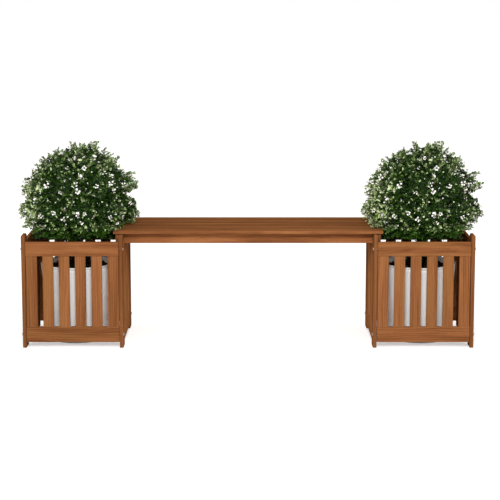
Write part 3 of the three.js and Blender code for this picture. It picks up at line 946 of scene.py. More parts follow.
@dataclass
class PlantPot:
    """A white pot that widens to a plain rim over a shallow groove."""

    top_radius: float = 0.150
    base_radius: float = 0.123
    height: float = 0.314
    wall: float = 0.006
    lip: float = 0.009
    groove_height: float = 0.004
    groove_depth: float = 0.002
    ease: float = 0.0015
    foot: float = 0.003
    wall_shares: tuple[float, ...] = (0.12, 0.3, 0.5, 0.7, 0.85, 0.96, 0.996)
    sides: int = 128

    def _outer(self, height: float) -> float:
        """The radius of the outer face at a height."""
        return self.base_radius + (self.top_radius - self.base_radius) * height / self.height

    def _foot_point(self, share: float) -> tuple[float, float]:
        """A point of the hollow under the base's edge, from its inner top, at 0, to the wall's foot, at 1."""
        left = 1 - share
        return self._outer(0) - self.foot * left, self.foot * (1 - math.sqrt(1 - left**2))

    def _profile(self) -> list[tuple[float, float]]:
        """The section, from the middle of the base round the rim to the middle of the inner floor."""
        top, ease = self.height, self.ease
        groove_top = top - self.lip
        groove_low = groove_top - self.groove_height
        # Radii and heights, up the outer wall, over the rim and down the inner wall.
        heel = [self._foot_point(share) for share in (0.0, 0.3, 0.65, 1.0)]
        wall = [(self._outer(groove_low * share), groove_low * share) for share in self.wall_shares]
        groove = [
            (self._outer(groove_low) - self.groove_depth * 0.4, groove_low + 0.0002),
            (self._outer(groove_low) - self.groove_depth, groove_low + 0.0012),
            (self._outer(groove_top) - self.groove_depth, groove_top - 0.0012),
            (self._outer(groove_top) - self.groove_depth * 0.4, groove_top - 0.0002),
            (self._outer(groove_top), groove_top + 0.0004),
        ]
        rim = [
            (self._outer(top - ease), top - ease),
            (self._outer(top) - ease * 0.3, top - ease * 0.35),
            (self._outer(top) - ease, top),
            (self._outer(top) - self.wall + ease * 0.6, top),
            (self._outer(top) - self.wall, top - ease * 0.5),
        ]
        inner = [(self._outer(z) - self.wall, z) for z in (top - 0.012, top - 0.05, top * 0.5, 0.012)]
        floor = [(self._outer(0.01) - self.wall - 0.004, self.wall), (0.001, self.wall)]
        return [(0.001, 0.0), (self._outer(0) * 0.9, 0.0), *heel, *wall, *groove, *rim, *inner, *floor]

    def build(self, side: Side, centre: float, material: Material) -> None:
        """Makes the pot in the place of its solid.

        Args:
            side: the end of the bench.
            centre: how far the pot stands from the bench's middle.
            material: the pot's finish.
        """
        patch = Patch()
        patch.add(*lathe(self._profile(), self.sides))
        mesh = patch.build("pot_shell", True)
        pot = show(f"{side.word}_pot_shell", mesh, material, (side.value * centre, 0.0, 0.0))
        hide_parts(f"{side.word}_pot")
        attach(pot, f"{side.word}_potted_shrub")
        log.info("%s pot: %d faces", side.word, len(pot.data.polygons))


@dataclass
class SoilBed:
    """The potting soil: an uneven bed with loose crumbs on it."""

    radius: float = 0.1405
    top: float = 0.284
    base: float = 0.0063
    base_radius: float = 0.1172
    rings: int = 26
    sides: int = 90
    crumbs: int = 420
    crumb_sizes: Span = (0.0012, 0.0034)
    crumb_shapes: Span = (0.6, 1.3)
    crumb_margin: float = 0.008
    grain: float = 0.0005
    dip: float = 0.0040
    crown_rise: float = 0.0025
    lump_rise: float = 0.0012
    seed: int = 11

    def build(self, side: Side, centre: float, material: Material) -> None:
        """Makes the soil in the place of its solid.

        Args:
            side: the end of the bench.
            centre: how far the pot stands from the bench's middle.
            material: the soil's finish.
        """
        chance = np.random.default_rng(self.seed + side.value)
        patch = Patch()
        self._bed(patch, chance)
        self._crumbs(patch, chance)
        place = (side.value * centre, 0.0, 0.0)
        bed = show(f"{side.word}_soil_bed", patch.build(f"{side.word}_soil_bed", True), material, place)
        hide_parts(f"{side.word}_soil")
        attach(bed, f"{side.word}_potted_shrub")
        log.info("%s soil: %d faces", side.word, len(bed.data.polygons))

    def _height(self, x: Array, y: Array) -> Array:
        """The height of the bed at a place: low lumps that flatten towards the pot's wall."""
        # Crossing waves about a decimetre long make lumps, and shorter ones break them up.
        lumps = np.sin(61 * x + 2.0 * np.sin(43 * y)) * np.cos(57 * y + 1.3)
        lumps = lumps + 0.5 * np.sin(131 * x + 97 * y)
        crown = 1 - (np.hypot(x, y) / self.radius) ** 2
        return self.top - self.dip + self.crown_rise * crown + self.lump_rise * lumps

    def _bed(self, patch: Patch, chance: np.random.Generator) -> None:
        """Adds the bed and the sides that go down inside the pot.

        Args:
            patch: what the faces are added to.
            chance: the source of the small unevenness.
        """
        profile = [(self.radius * (share + 0.01) / 1.01, self.top) for share in np.linspace(0, 1, self.rings)]
        low = [(self.radius - 0.002, self.top * 0.8), (self.base_radius, self.base), (0.001, self.base)]
        corners, faces = lathe([*profile, *low], self.sides)
        surface = slice(0, self.rings * self.sides)
        x, y = corners[surface, 0], corners[surface, 1]
        corners[surface, 2] = self._height(x, y) + chance.normal(0, self.grain, len(x))
        patch.add(corners, faces)

    def _crumbs(self, patch: Patch, chance: np.random.Generator) -> None:
        """Adds the loose crumbs.

        Args:
            patch: what the faces are added to.
            chance: the source of their sizes and turns.
        """
        lump = np.array([(1, 0, 0), (-1, 0, 0), (0, 1, 0), (0, -1, 0), (0, 0, 1), (0, 0, -1)], float)
        upper = [(0, 2, 4), (2, 1, 4), (1, 3, 4), (3, 0, 4)]
        lower = [(2, 0, 5), (1, 2, 5), (3, 1, 5), (0, 3, 5)]
        number = np.arange(self.crumbs)
        reach = (self.radius - self.crumb_margin) * np.sqrt((number + 0.5) / self.crumbs)
        x, y = reach * np.cos(number * GOLDEN_ANGLE), reach * np.sin(number * GOLDEN_ANGLE)
        origins = np.stack([x, y, self._height(x, y)], axis=-1)
        turns = unit(chance.normal(size=(self.crumbs, 3, 3)))
        sizes = chance.uniform(*self.crumb_sizes, (self.crumbs, 1, 1))
        sizes = sizes * chance.uniform(*self.crumb_shapes, (self.crumbs, 3, 1))
        patch.repeat(lump, np.array(upper + lower), origins, turns * sizes, np.full(self.crumbs, 0.5))


@dataclass(frozen=True)
class LeafBlade:
    """A small pointed leaf, folded a little along its midrib and drooping at its tip."""

    length: float = 0.0118
    width: float = 0.0060

    @staticmethod
    def shape() -> Array:
        """The blade's corners, for a length and a width of one."""
        # Two rows across the blade: how far along, half the width, and the heights of the edge and the rib.
        rows = ((0.32, 0.45, 0.10, 0.0), (0.70, 0.36, 0.05, -0.04))
        body = [(u, side * half, edge if side else rib) for u, half, edge, rib in rows for side in (-1, 0, 1)]
        return np.array([(0.0, 0.0, 0.0), *body, (1.0, 0.0, -0.16)])

    @staticmethod
    def faces() -> Array:
        """The blade's faces, with their fronts upward."""
        foot, tip = [(0, 1, 2), (0, 2, 3)], [(4, 7, 5), (5, 7, 6)]
        return np.array(foot + [(1, 4, 5), (1, 5, 2), (2, 5, 6), (2, 6, 3)] + tip)


@dataclass(frozen=True)
class Blossom:
    """A flower of five cupped petals round a small heart with anthers."""

    petals: int = 5
    petal_length: float = 0.0142
    petal_width: float = 0.0096
    heart_radius: float = 0.0031
    anthers: int = 7
    widths: tuple[float, ...] = (0.12, 0.18, 0.52, 1.0, 0.98, 0.45)
    columns: int = 5

    def petal(self) -> tuple[Array, Array, Array]:
        """A petal along x with its face towards z.

        Returns:
            The corners, the faces, and how far along the petal each corner is.
        """
        along = np.linspace(0.08, 1.0, len(self.widths))
        across = np.linspace(-1.0, 1.0, self.columns)
        u, v = np.meshgrid(along, across, indexing="ij")
        half = np.array(self.widths)[:, None] * self.petal_width / 2
        # The petal rises along its length, its sides stand up, and its end is notched and rounded.
        cup = 0.30 * u - 0.22 * u**2 + 0.13 * v**2 * u
        notch = 0.06 * (1 - np.abs(v)) * (u > 0.95)
        x = (u - notch - 0.07 * v**2 * (u > 0.7)) * self.petal_length
        corners = np.stack([x, v * half, cup * self.petal_length], axis=-1).reshape(-1, 3)
        number = np.arange(u.size).reshape(u.shape)
        faces = np.stack([number[:-1, :-1], number[1:, :-1], number[1:, 1:], number[:-1, 1:]], axis=-1)
        return corners, faces.reshape(-1, 4), u.ravel()


@dataclass
class Crown:
    """The form of the leafy crown: lobes round a core, held within the outline that the photo shows."""

    half_width: float = 0.262
    half_depth: float = 0.250
    base: float = 0.388
    top: float = 0.815
    # Each ring of lobes as shares of the crown: height, ring radius, lobe radius, lobe rise, number, turn.
    lobe_rings: tuple[tuple[float, float, float, float, int, float], ...] = (
        (0.42, 0.0, 0.76, 0.43, 1, 0.0),
        (0.14, 0.50, 0.26, 0.14, 8, 0.06),
        (0.33, 0.72, 0.27, 0.15, 9, 0.0),
        (0.58, 0.62, 0.27, 0.17, 8, 0.0),
        (0.77, 0.40, 0.25, 0.135, 6, 0.0),
        (0.89, 0.20, 0.17, 0.11, 1, 0.02),
        (0.86, 0.07, 0.19, 0.10, 1, 0.55),
    )
    # How far the crown reaches by height, to the left and to the right, all as shares.
    outline: tuple[tuple[float, float, float], ...] = (
        (0.00, 0.66, 0.70), (0.12, 0.78, 0.80), (0.23, 0.85, 0.90), (0.31, 0.90, 1.00),
        (0.42, 0.84, 0.97), (0.55, 0.85, 1.00), (0.66, 0.77, 0.94), (0.75, 0.67, 0.80),
        (0.81, 0.58, 0.72), (0.87, 0.41, 0.58), (0.93, 0.26, 0.42), (1.00, 0.12, 0.36),
    )
    # The turn from one lobe's points to the next lobe's, and the fewest points on a lobe.
    lobe_twist: float = 1.7
    fewest: int = 8
    # Where the loose growth starts, to the left and upwards, over what share, and how loose the crest is.
    loose_from: float = 0.50
    loose_over: float = 0.2
    crest_from: float = 0.72
    crest_over: float = 0.12
    crest_share: float = 0.22

    def __post_init__(self) -> None:
        """Lays out the lobes, of which the first is the core."""
        self.centres, self.radii = self._lobes()
        self.core = self.centres[0]

    def _lobes(self) -> tuple[Array, Array]:
        """The crown's lobes, stretched so that they fill its box.

        Returns:
            Their centres and their radii, a row each.
        """
        centres, radii = [], []
        for height, ring, lobe, rise, count, turn in self.lobe_rings:
            for number in range(count):
                angle = 2 * math.pi * (number / count + turn)
                centres.append((ring * math.cos(angle), ring * math.sin(angle), height))
                radii.append((lobe, lobe, rise))
        across = np.array([self.half_width, self.half_depth, self.top - self.base])
        middles, reach = np.array(centres) * across, np.array(radii) * across
        low, high = (middles - reach).min(axis=0), (middles + reach).max(axis=0)
        scale = across * np.array([2.0, 2.0, 1.0]) / (high - low)
        home = np.array([0.0, 0.0, (self.base + self.top) / 2])
        return (middles - (low + high) / 2) * scale + home, reach * scale

    def climb(self, points: Array) -> Array:
        """How high each point is, from 0 at the crown's base to 1 at its top."""
        return (points[..., 2] - self.base) / (self.top - self.base)

    def front(self, shares: Sequence[tuple[float, float]]) -> Array:
        """The x and z of places given as shares of the half width and of the crown's height."""
        return np.array(shares) * [self.half_width, self.top - self.base] + [0.0, self.base]

    def looseness(self, points: Array) -> Array:
        """How loosely the crown grows at each point, from 0 to 1: most at its left, some at its crest."""
        aside = np.clip((-points[..., 0] / self.half_width - self.loose_from) / self.loose_over, 0.0, 1.0)
        crest = np.clip((self.climb(points) - self.crest_from) / self.crest_over, 0.0, 1.0)
        return np.maximum(aside, self.crest_share * crest)

    def skin(self, spacing: float) -> tuple[Array, Array]:
        """Spreads points over the outside of the lobes.

        Args:
            spacing: how far apart they are.

        Returns:
            The points and the skin's facings there, a row each.
        """
        points, facings = [], []
        for number, (centre, radii) in enumerate(zip(self.centres, self.radii)):
            count = max(self.fewest, int(4 * math.pi * np.mean(radii) ** 2 / spacing**2))
            index = np.arange(count) + 0.5
            height = 1 - 2 * index / count
            turn = index * GOLDEN_ANGLE + number * self.lobe_twist
            width = np.sqrt(1 - height**2)
            ball = np.stack([width * np.cos(turn), width * np.sin(turn), height], axis=-1)
            spots = centre + ball * radii
            inside = np.linalg.norm((spots[:, None] - self.centres) / self.radii, axis=-1) < 1.0
            inside[:, number] = False
            open_air = ~inside.any(axis=1)
            points.append(spots[open_air])
            facings.append(unit(ball / radii)[open_air])
        return np.concatenate(points), np.concatenate(facings)

    def trimmed(self, points: Array) -> Array:
        """Draws the points that stand out of the crown's outline back to it.

        Args:
            points: the points, a row each.

        Returns:
            The points, moved level towards the crown's middle where they stood out.
        """
        heights, left, right = np.array(self.outline).T
        share = self.climb(points)
        out = np.hypot(points[:, 0], points[:, 1]) + 1e-6
        turned = (1 + points[:, 0] / out) / 2
        reach = np.interp(share, heights, left) * (1 - turned) + np.interp(share, heights, right) * turned
        kept = np.minimum(1.0, reach * self.half_width / out)[:, None]
        return np.concatenate([points[:, :2] * kept, points[:, 2:]], axis=1)


@dataclass(frozen=True)
class Clearance:
    """The room that leaves and twigs leave free round the woodwork, and the strip kept open above a rail."""

    wall_height: float = 0.4335
    wall_reach: float = 0.1825
    seat_height: float = 0.4725
    seat_reach: float = 0.158
    # Below this height leaves stay only this near to the stems.
    foot_height: float = 0.399
    foot_reach: float = 0.07
    # The open strip rises towards the front; its heights are those at y = 0, and a narrow tuft crosses it.
    strip_heights: Span = (0.3925, 0.4050)
    strip_slope: float = 0.1744
    tuft_reach: float = 0.018
    # Twigs that end low and far out would cross the planter's wood.
    twig_height: float = 0.48
    twig_reach: float = 0.155

    def closed(self, points: Array) -> Array:
        """Which points lie in the room that is left free."""
        x, y, z = np.abs(points[..., 0]), points[..., 1], points[..., 2]
        out = np.maximum(x, np.abs(y))
        strip = z + y * self.strip_slope
        closed = (z < self.wall_height) & (out > self.wall_reach)
        closed |= (z < self.seat_height) & (x > self.seat_reach)
        closed |= (z < self.foot_height) & (out > self.foot_reach)
        closed |= (strip > self.strip_heights[0]) & (strip < self.strip_heights[1]) & (x > self.tuft_reach)
        return closed

    def twigless(self, tips: Array) -> Array:
        """Which sprigs get no twig, by their tips."""
        return (tips[:, 2] < self.twig_height) & (np.abs(tips[:, :2]).max(axis=1) > self.twig_reach)


def bowed(starts: Array, ends: Array, points: int, bow: Point) -> Array:
    """Paths that bow aside in their middle.

    Args:
        starts: where they start, a row each.
        ends: where they end, a row each.
        points: the number of points on a path.
        bow: how far and which way the middle is off the straight line.

    Returns:
        The paths, each a row of points.
    """
    along = np.linspace(0, 1, points)[None, :, None]
    return starts[:, None] * (1 - along) + ends[:, None] * along + np.array(bow) * (4 * along * (1 - along))


@dataclass
class Shrub:
    """The flowering shrub: stems, branches, sprigs of leaves over the crown, white flowers and buds."""

    slat_pitch: float
    crown: Crown = field(default_factory=Crown)
    clearance: Clearance = Clearance()
    leaf: LeafBlade = LeafBlade()
    blossom: Blossom = Blossom()
    soil_top: float = 0.280
    seed: int = 5
    # Bare hollows in the crown's front: their place as shares, and their radius in metres.
    hollows: tuple[tuple[float, float, float], ...] = (
        (-0.27, 0.63, 0.030), (0.13, 0.43, 0.018), (0.38, 0.70, 0.022),
        (0.60, 0.52, 0.018), (-0.05, 0.80, 0.016), (-0.45, 0.35, 0.018),
    )
    # Where longer sprigs break the outline, as shares of the half width and of the height.
    strays: tuple[tuple[float, float], ...] = (
        (0.32, 0.985), (0.08, 0.95), (-0.10, 0.90), (-0.30, 0.84), (-0.58, 0.83), (-0.84, 0.66),
        (-0.90, 0.56), (-0.95, 0.32), (0.50, 0.88), (0.66, 0.83), (0.89, 0.66), (0.94, 0.56),
        (0.97, 0.33), (0.92, 0.28), (0.84, 0.24), (0.76, 0.22), (-0.76, 0.20), (-0.92, 0.30),
    )
    # Where flowers show on the front, as shares of the half width and of the height.
    front_flowers: tuple[tuple[float, float], ...] = (
        (-0.01, 0.88), (-0.06, 0.77), (0.19, 0.78), (0.10, 0.65), (-0.35, 0.63), (0.62, 0.64),
        (0.35, 0.61), (0.14, 0.57), (-0.16, 0.56), (0.78, 0.57), (0.68, 0.55), (-0.59, 0.48),
        (-0.22, 0.38), (0.12, 0.38), (0.25, 0.37), (0.39, 0.33), (-0.50, 0.33), (0.60, 0.32),
        (-0.15, 0.30), (0.79, 0.30), (0.17, 0.27), (-0.62, 0.25), (0.70, 0.24), (-0.80, 0.62),
        (-0.88, 0.50), (-0.70, 0.69), (-0.78, 0.37), (-0.86, 0.28), (-0.58, 0.74), (0.88, 0.42),
        (0.50, 0.76),
    )
    # Flowers away from the front, buds, and how flowers sit in the crown.
    other_flowers: int = 62
    buds: int = 240
    bud_from: float = 0.49
    bud_sizes: Span = (0.7, 1.3)
    flower_spacing: float = 0.009
    flower_sink: float = 0.012
    flower_wobble: float = 0.45
    flower_sizes: Span = (0.66, 1.10)
    petals_lost: float = 0.18
    # A flower's face stays clear of leaves over this radius and between these heights.
    flower_room: float = 0.0135
    flower_heights: Span = (-0.002, 0.05)
    # Sprigs over the crown.
    sprig_spacing: float = 0.027
    sprig_lengths: Span = (0.050, 0.080)
    sprig_wobble: float = 0.22
    leaves_a_sprig: int = 36
    tip_depth: float = 0.028
    tip_wobble: float = 0.005
    fresh: Span = (0.43, 0.90)
    # Painted shade: the levels fall by this much for each metre that a tip is sunk into the crown.
    depth_shade: float = 8.0
    open_share: float = 0.44
    # Sprigs that break the outline: how many at each place, and how they spread.
    stray_sprigs: int = 6
    stray_spread: Point = (0.010, 0.055, 0.020)
    stray_wobble: float = 0.06
    stray_headroom: float = 0.010
    stray_length: float = 0.07
    stray_fresh: Span = (0.3, 0.6)
    stray_limit: float = 0.965
    # Low sprigs, dark as painted shade under the crown, that spread inside the planter's top and widen above
    # it.
    skirt_sprigs: int = 520
    skirt_reach: float = 0.176
    skirt_heights: Span = (0.414, 0.485)
    skirt_flare: float = 1.9
    skirt_flare_from: float = 0.433
    skirt_overhang: float = 0.027
    skirt_depth: float = 0.16
    skirt_lightness: Span = (0.30, 0.62)
    # Leaves: their levels' spread, and the share of pale ones, painted glints, in close and in loose growth,
    # where more of them paint light.
    level_spread: float = 0.17
    painted_glint_share: float = 0.23
    loose_painted_glint_share: float = 0.58
    painted_glint_levels: Span = (0.85, 1.05)
    # Larger leaves under the sprigs, dark as painted shade, some of them light as painted light where the
    # growth is loose.
    shade_spacing: float = 0.0082
    shade_depths: Span = (0.020, 0.040)
    shade_sizes: Span = (1.2, 1.8)
    open_shade_share: float = 0.60
    loose_painted_light_share: float = 0.55
    painted_light_levels: Span = (0.7, 1.1)
    # Leaves round the stems.
    foot_leaves: int = 1200
    foot_reach: float = 0.050
    # Leaves on twigs that hang before the back panel's middle slats, dark as painted shade there, each twig's
    # ends given as y and z.
    fringe_slats: int = 4
    fringe_leaves: int = 26
    fringe_half_width: float = 0.015
    fringe_depths: Span = (0.148, 0.166)
    fringe_heights: Span = (0.368, 0.390)
    hanger_top: Span = (0.128, 0.445)
    hanger_foot: Span = (0.157, 0.368)
    hanger_gap: float = 0.010
    # Stems: their number, how far from the middle they start and end, how high they end, and their sway.
    stems: int = 5
    stem_foot: float = 0.016
    stem_head: float = 0.070
    stem_rise: float = 0.090
    stem_sway: float = 0.003
    stem_radii: Span = (0.0058, 0.0036)
    branch_radii: Span = (0.0030, 0.0016)
    twig_radii: Span = (0.0011, 0.0005)
    hanger_radii: Span = (0.0007, 0.0007)

    def __post_init__(self) -> None:
        """Starts the source of chance and lays out the flowers and the sprigs."""
        self.chance = np.random.default_rng(self.seed)
        self.flower_places, self.flower_facings = self._flower_layout()
        self.roots, self.tips, self.leaf_lightness = self._sprig_layout()

    def _flower_layout(self) -> tuple[Array, Array]:
        """Where the flowers sit and which way they face.

        Returns:
            Their places and their facings, a row each.
        """
        points, facings = self.crown.skin(self.flower_spacing)
        points = self.crown.trimmed(points)
        wanted = self.crown.front(self.front_flowers)
        # Among the points behind one another the nearest to the front is taken.
        off = np.linalg.norm(points[None][..., [0, 2]] - wanted[:, None], axis=-1) + 0.2 * points[:, 1]
        front = off.argmin(axis=1)
        rest = np.flatnonzero((facings[:, 1] > -0.30) & (points[:, 2] > self.crown.base + 0.05))
        others = rest[np.linspace(0, len(rest) - 1, self.other_flowers).astype(int)]
        chosen = np.concatenate([front, others])
        # The front's flowers turn to the front, and all turn a little upward.
        toward = np.repeat([[0.0, -0.55, 0.1], [0.0, 0.0, 0.15]], [len(front), len(others)], axis=0)
        turned = facings[chosen] + toward + self.chance.normal(0, self.flower_wobble, (len(chosen), 3))
        return points[chosen] - facings[chosen] * self.flower_sink, unit(turned)

    def _sprig_layout(self) -> Growth:
        """Where the sprigs start and end.

        Returns:
            Their roots, their tips, and how light the leaves of each are, less so where a tip is sunk into
            the crown: painted shade.
        """
        points, facings = self.crown.skin(self.sprig_spacing)
        clear = ~self._airy(points, self.open_share)
        for across, height, radius in self.hollows:
            off = points[:, [0, 2]] - self.crown.front([(across, height)])
            clear &= (np.linalg.norm(off, axis=1) > radius) | (points[:, 1] > 0)
        points, facings = points[clear], facings[clear]
        many = len(points)
        outward = unit(points - self.crown.core)
        depth = self.tip_depth * np.sqrt(self.chance.uniform(0, 1, (many, 1)))
        moved = self.crown.trimmed(points + self.chance.normal(0, self.tip_wobble, (many, 3)))
        tips = moved - outward * depth
        ahead = unit(0.6 * facings + 0.6 * outward + self.chance.normal(0, self.sprig_wobble, (many, 3)))
        roots = tips - ahead * self.chance.uniform(*self.sprig_lengths, (many, 1))
        # Tips sunk deeper get darker leaves: painted shade.
        fresh = self.chance.uniform(*self.fresh, many) - self.depth_shade * depth[:, 0]
        groups = [(roots, tips, fresh), self._strays(), self._skirt()]
        return tuple(np.concatenate(group) for group in zip(*groups))

    def _airy(self, points: Array, share: float) -> Array:
        """Which points are left bare so that light shows through where the crown is loose.

        Args:
            points: the points, a row each.
            share: the share of the loosest part that is left bare.

        Returns:
            A row of true and false.
        """
        return self.chance.uniform(0, 1, len(points)) < share * self.crown.looseness(points)

    def _strays(self) -> Growth:
        """The longer sprigs that break the crown's outline.

        Returns:
            Their roots, their tips, and how fresh the leaves of each are.
        """
        crown = self.crown
        across, heights = np.repeat(crown.front(self.strays), self.stray_sprigs, axis=0).T
        many = len(across)
        spread = self.chance.normal(0, 1.0, (many, 3)) * self.stray_spread
        tips = crown.trimmed(np.stack([across, 0 * across, heights], axis=-1) + spread)
        limits = np.array([crown.half_width, crown.half_depth, 1.0]) * self.stray_limit
        tips = np.clip(tips, -limits, limits)
        tips[:, 2] = np.minimum(tips[:, 2], crown.top - self.stray_headroom)
        outward = unit(tips - crown.core + self.chance.normal(0, self.stray_wobble, tips.shape))
        return tips - outward * self.stray_length, tips, self.chance.uniform(*self.stray_fresh, many)

    def _skirt(self) -> Growth:
        """The low sprigs, dark as painted shade, that spread inside the planter's top, also into its corners.

        Returns:
            Their roots, their tips, and how light the leaves of each are, kept low as painted shade.
        """
        many = self.skirt_sprigs
        turn = np.arange(many) * GOLDEN_ANGLE
        square = 1 / np.maximum(np.abs(np.cos(turn)), np.abs(np.sin(turn)))
        height = self.chance.uniform(*self.skirt_heights, many)
        flare = np.clip(self.skirt_flare * (height - self.skirt_flare_from), 0.0, self.skirt_overhang)
        limit = self.skirt_reach + flare
        reach = limit * square * (1.0 - self.skirt_depth * self.chance.uniform(0, 1, many) ** 2)
        tips = np.stack([reach * np.cos(turn), reach * np.sin(turn), height], axis=-1)
        tips[:, :2] = np.clip(tips[:, :2], -limit[:, None], limit[:, None])
        # The sprigs lie nearly level: each starts nearer to the middle and a little higher than its tip.
        roots = tips * [0.6, 0.6, 1.0] + [0.0, 0.0, 0.014]
        # Painted shade: the skirt's leaves start darker than the crown's.
        return roots, tips, self.chance.uniform(*self.skirt_lightness, many)

    def _sprig_leaves(self) -> Growth:
        """Places the leaves on the sprigs.

        Returns:
            The leaves' places, their three axes, and their levels.
        """
        many, per = len(self.tips), self.leaves_a_sprig
        each = (many, per)
        # The leaves start a little out from the root and crowd towards the tip.
        share = 0.12 + 0.88 * np.linspace(0.0, 1.0, per)[None, :] ** 0.85 + self.chance.normal(0, 0.015, each)
        ahead = (self.tips - self.roots)[:, None]
        bow = self.chance.uniform(-0.006, 0.012, (many, 1, 1)) * (share * (1 - share) * 4)[..., None]
        spots = self.roots[:, None] + ahead * share[..., None] + bow * np.array([0.0, 0.0, 1.0])
        axis = unit(ahead + np.zeros_like(spots))
        aside = unit(np.cross(axis, SPRIG_SIDE))
        # The leaves stand round the sprig and point more along it towards its tip.
        turn = np.arange(per)[None, :] * GOLDEN_ANGLE + self.chance.uniform(0, 6.28, (many, 1))
        turn = (turn + self.chance.normal(0, 0.3, each))[..., None]
        radial = aside * np.cos(turn) + np.cross(axis, aside) * np.sin(turn)
        lean = np.radians(72 - 36 * share + self.chance.normal(0, 9, each))[..., None]
        along = unit(axis * np.cos(lean) + radial * np.sin(lean))
        look = np.array([0.0, 0.0, 0.5]) + axis * 0.7 + self.chance.normal(0, 0.6, along.shape)
        # The leaves are largest at the sprig's middle.
        size = (1.08 - 0.42 * np.abs(share - 0.55)) * self.chance.uniform(0.7, 1.15, each)
        axes = self._blade_axes(along.reshape(-1, 3), look.reshape(-1, 3), size.reshape(-1, 1))
        return spots.reshape(-1, 3), axes, self._sprig_levels(share, spots).ravel()

    def _sprig_levels(self, share: Array, spots: Array) -> Array:
        """The level of each leaf on the sprigs.

        Args:
            share: how far along its sprig each leaf stands.
            spots: the leaves' places.

        Returns:
            The levels, a row for each sprig.
        """
        each, fresh = share.shape, self.leaf_lightness[:, None]
        climb, loose = self.crown.climb(spots), self.crown.looseness(spots)
        # A leaf is lighter towards its sprig's tip; it is painted lighter high in the crown, where more light
        # falls, and painted darker near the crown's base, where shade falls.
        level = fresh + 0.36 * (share - 0.6) + self.chance.normal(0, self.level_spread, each)
        level = level + 0.25 * (climb - 0.5) - 1.5 * np.maximum(0.25 - climb, 0.0)
        # Pale leaves paint glints, and more and brighter ones paint light on the loose growth.
        painted_glint_share = self.painted_glint_share + (self.loose_painted_glint_share - self.painted_glint_share) * loose
        pale = (self.chance.uniform(0, 1, each) < painted_glint_share) & (fresh > 0.12) & (climb > 0.2)
        return np.where(pale, self.chance.uniform(*self.painted_glint_levels, each) + 0.12 * loose, level)

    def _shade_leaves(self) -> Growth:
        """Places the larger leaves that lie flat under the sprigs' tips, darkened as painted shade, and
        lightened as painted light where the growth is loose.

        Returns:
            The leaves' places, their three axes, and their levels.
        """
        points, facings = self.crown.skin(self.shade_spacing)
        shut = ~self._airy(points, self.open_shade_share)
        points, facings = points[shut], facings[shut]
        many = len(points)
        sunk = unit(points - self.crown.core) * self.chance.uniform(*self.shade_depths, (many, 1))
        along = unit(np.cross(facings, self.chance.normal(size=(many, 3))) + 0.25 * facings)
        look = facings + self.chance.normal(0, 0.3, (many, 3))
        axes = self._blade_axes(along, look, self.chance.uniform(*self.shade_sizes, (many, 1)))
        # Painted light on the loose growth, painted shade elsewhere.
        light = self.chance.uniform(0, 1, many) < self.loose_painted_light_share * self.crown.looseness(points)
        bright = self.chance.uniform(*self.painted_light_levels, many)
        return self.crown.trimmed(points) - sunk, axes, np.where(light, bright, self._painted_shade(many, 0.10, 0.10))

    def _foot_leaves(self) -> Growth:
        """Places the dark leaves that hang close round the stems under the crown, put there and darkened as
        painted shade.

        Returns:
            The leaves' places, their three axes, and their levels.
        """
        many = self.foot_leaves
        turn = self.chance.uniform(0, 2 * math.pi, many)
        height = self.chance.uniform(0.0, 1.0, many)
        reach = self.foot_reach * np.sqrt(self.chance.uniform(0.1, 1.0, many)) * (0.8 + 0.35 * height)
        low, high = self.soil_top + 0.004, self.crown.base + 0.012
        out = np.stack([np.cos(turn), np.sin(turn), 0 * turn], axis=-1)
        places = out * reach[:, None] + np.stack([0 * turn, 0 * turn, low + (high - low) * height], axis=-1)
        droop = np.stack([0 * turn, 0 * turn, 0.3 * height - 0.3], axis=-1)
        along = unit(out + droop + self.chance.normal(0, 0.5, (many, 3)))
        look = self.chance.normal(0, 1.0, (many, 3))
        axes = self._blade_axes(along, look, self.chance.uniform(0.9, 1.3, (many, 1)))
        return places, axes, self._painted_shade(many, 0.03, 0.05)

    def _fringe_leaves(self) -> Growth:
        """Places the dark leaves that hang close before the back panel's middle slats, as painted shade over
        them.

        Returns:
            The leaves' places, their three axes, and their levels.
        """
        slats = np.repeat(self._fringe_places(), self.fringe_leaves)
        many = len(slats)
        across = slats + self.chance.uniform(-self.fringe_half_width, self.fringe_half_width, many)
        depths = self.chance.uniform(*self.fringe_depths, many)
        places = np.stack([across, depths, self.chance.uniform(*self.fringe_heights, many)], axis=-1)
        along = unit(np.array([0.0, 0.0, -0.5]) + self.chance.normal(0, 0.45, (many, 3)))
        look = self.chance.normal(0, 1.0, (many, 3)) + [0.0, -1.2, 0.0]
        axes = self._blade_axes(along, look, self.chance.uniform(0.8, 1.1, (many, 1)))
        return places, axes, self._painted_shade(many, 0.06, 0.06)

    def _fringe_places(self) -> Array:
        """How far to the side the back panel's middle slats stand."""
        return (np.arange(self.fringe_slats) - (self.fringe_slats - 1) / 2) * self.slat_pitch

    def _painted_shade(self, many: int, level: float, spread: float) -> Array:
        """A row of low levels that paint shade onto leaves."""
        return self.chance.normal(level, spread, many)

    def _blade_axes(self, along: Array, look: Array, size: Array) -> Array:
        """The three axes of leaves.

        Args:
            along: the way each leaf points.
            look: roughly the way its upper side faces.
            size: its size as a share of the usual.

        Returns:
            For each leaf its length, its width and its upward row.
        """
        normal = unit(look - along * (look * along).sum(-1, keepdims=True))
        width = self.leaf.width * size
        aside = np.cross(normal, along) * width
        return np.stack([along * self.leaf.length * size, aside, normal * width], axis=1)

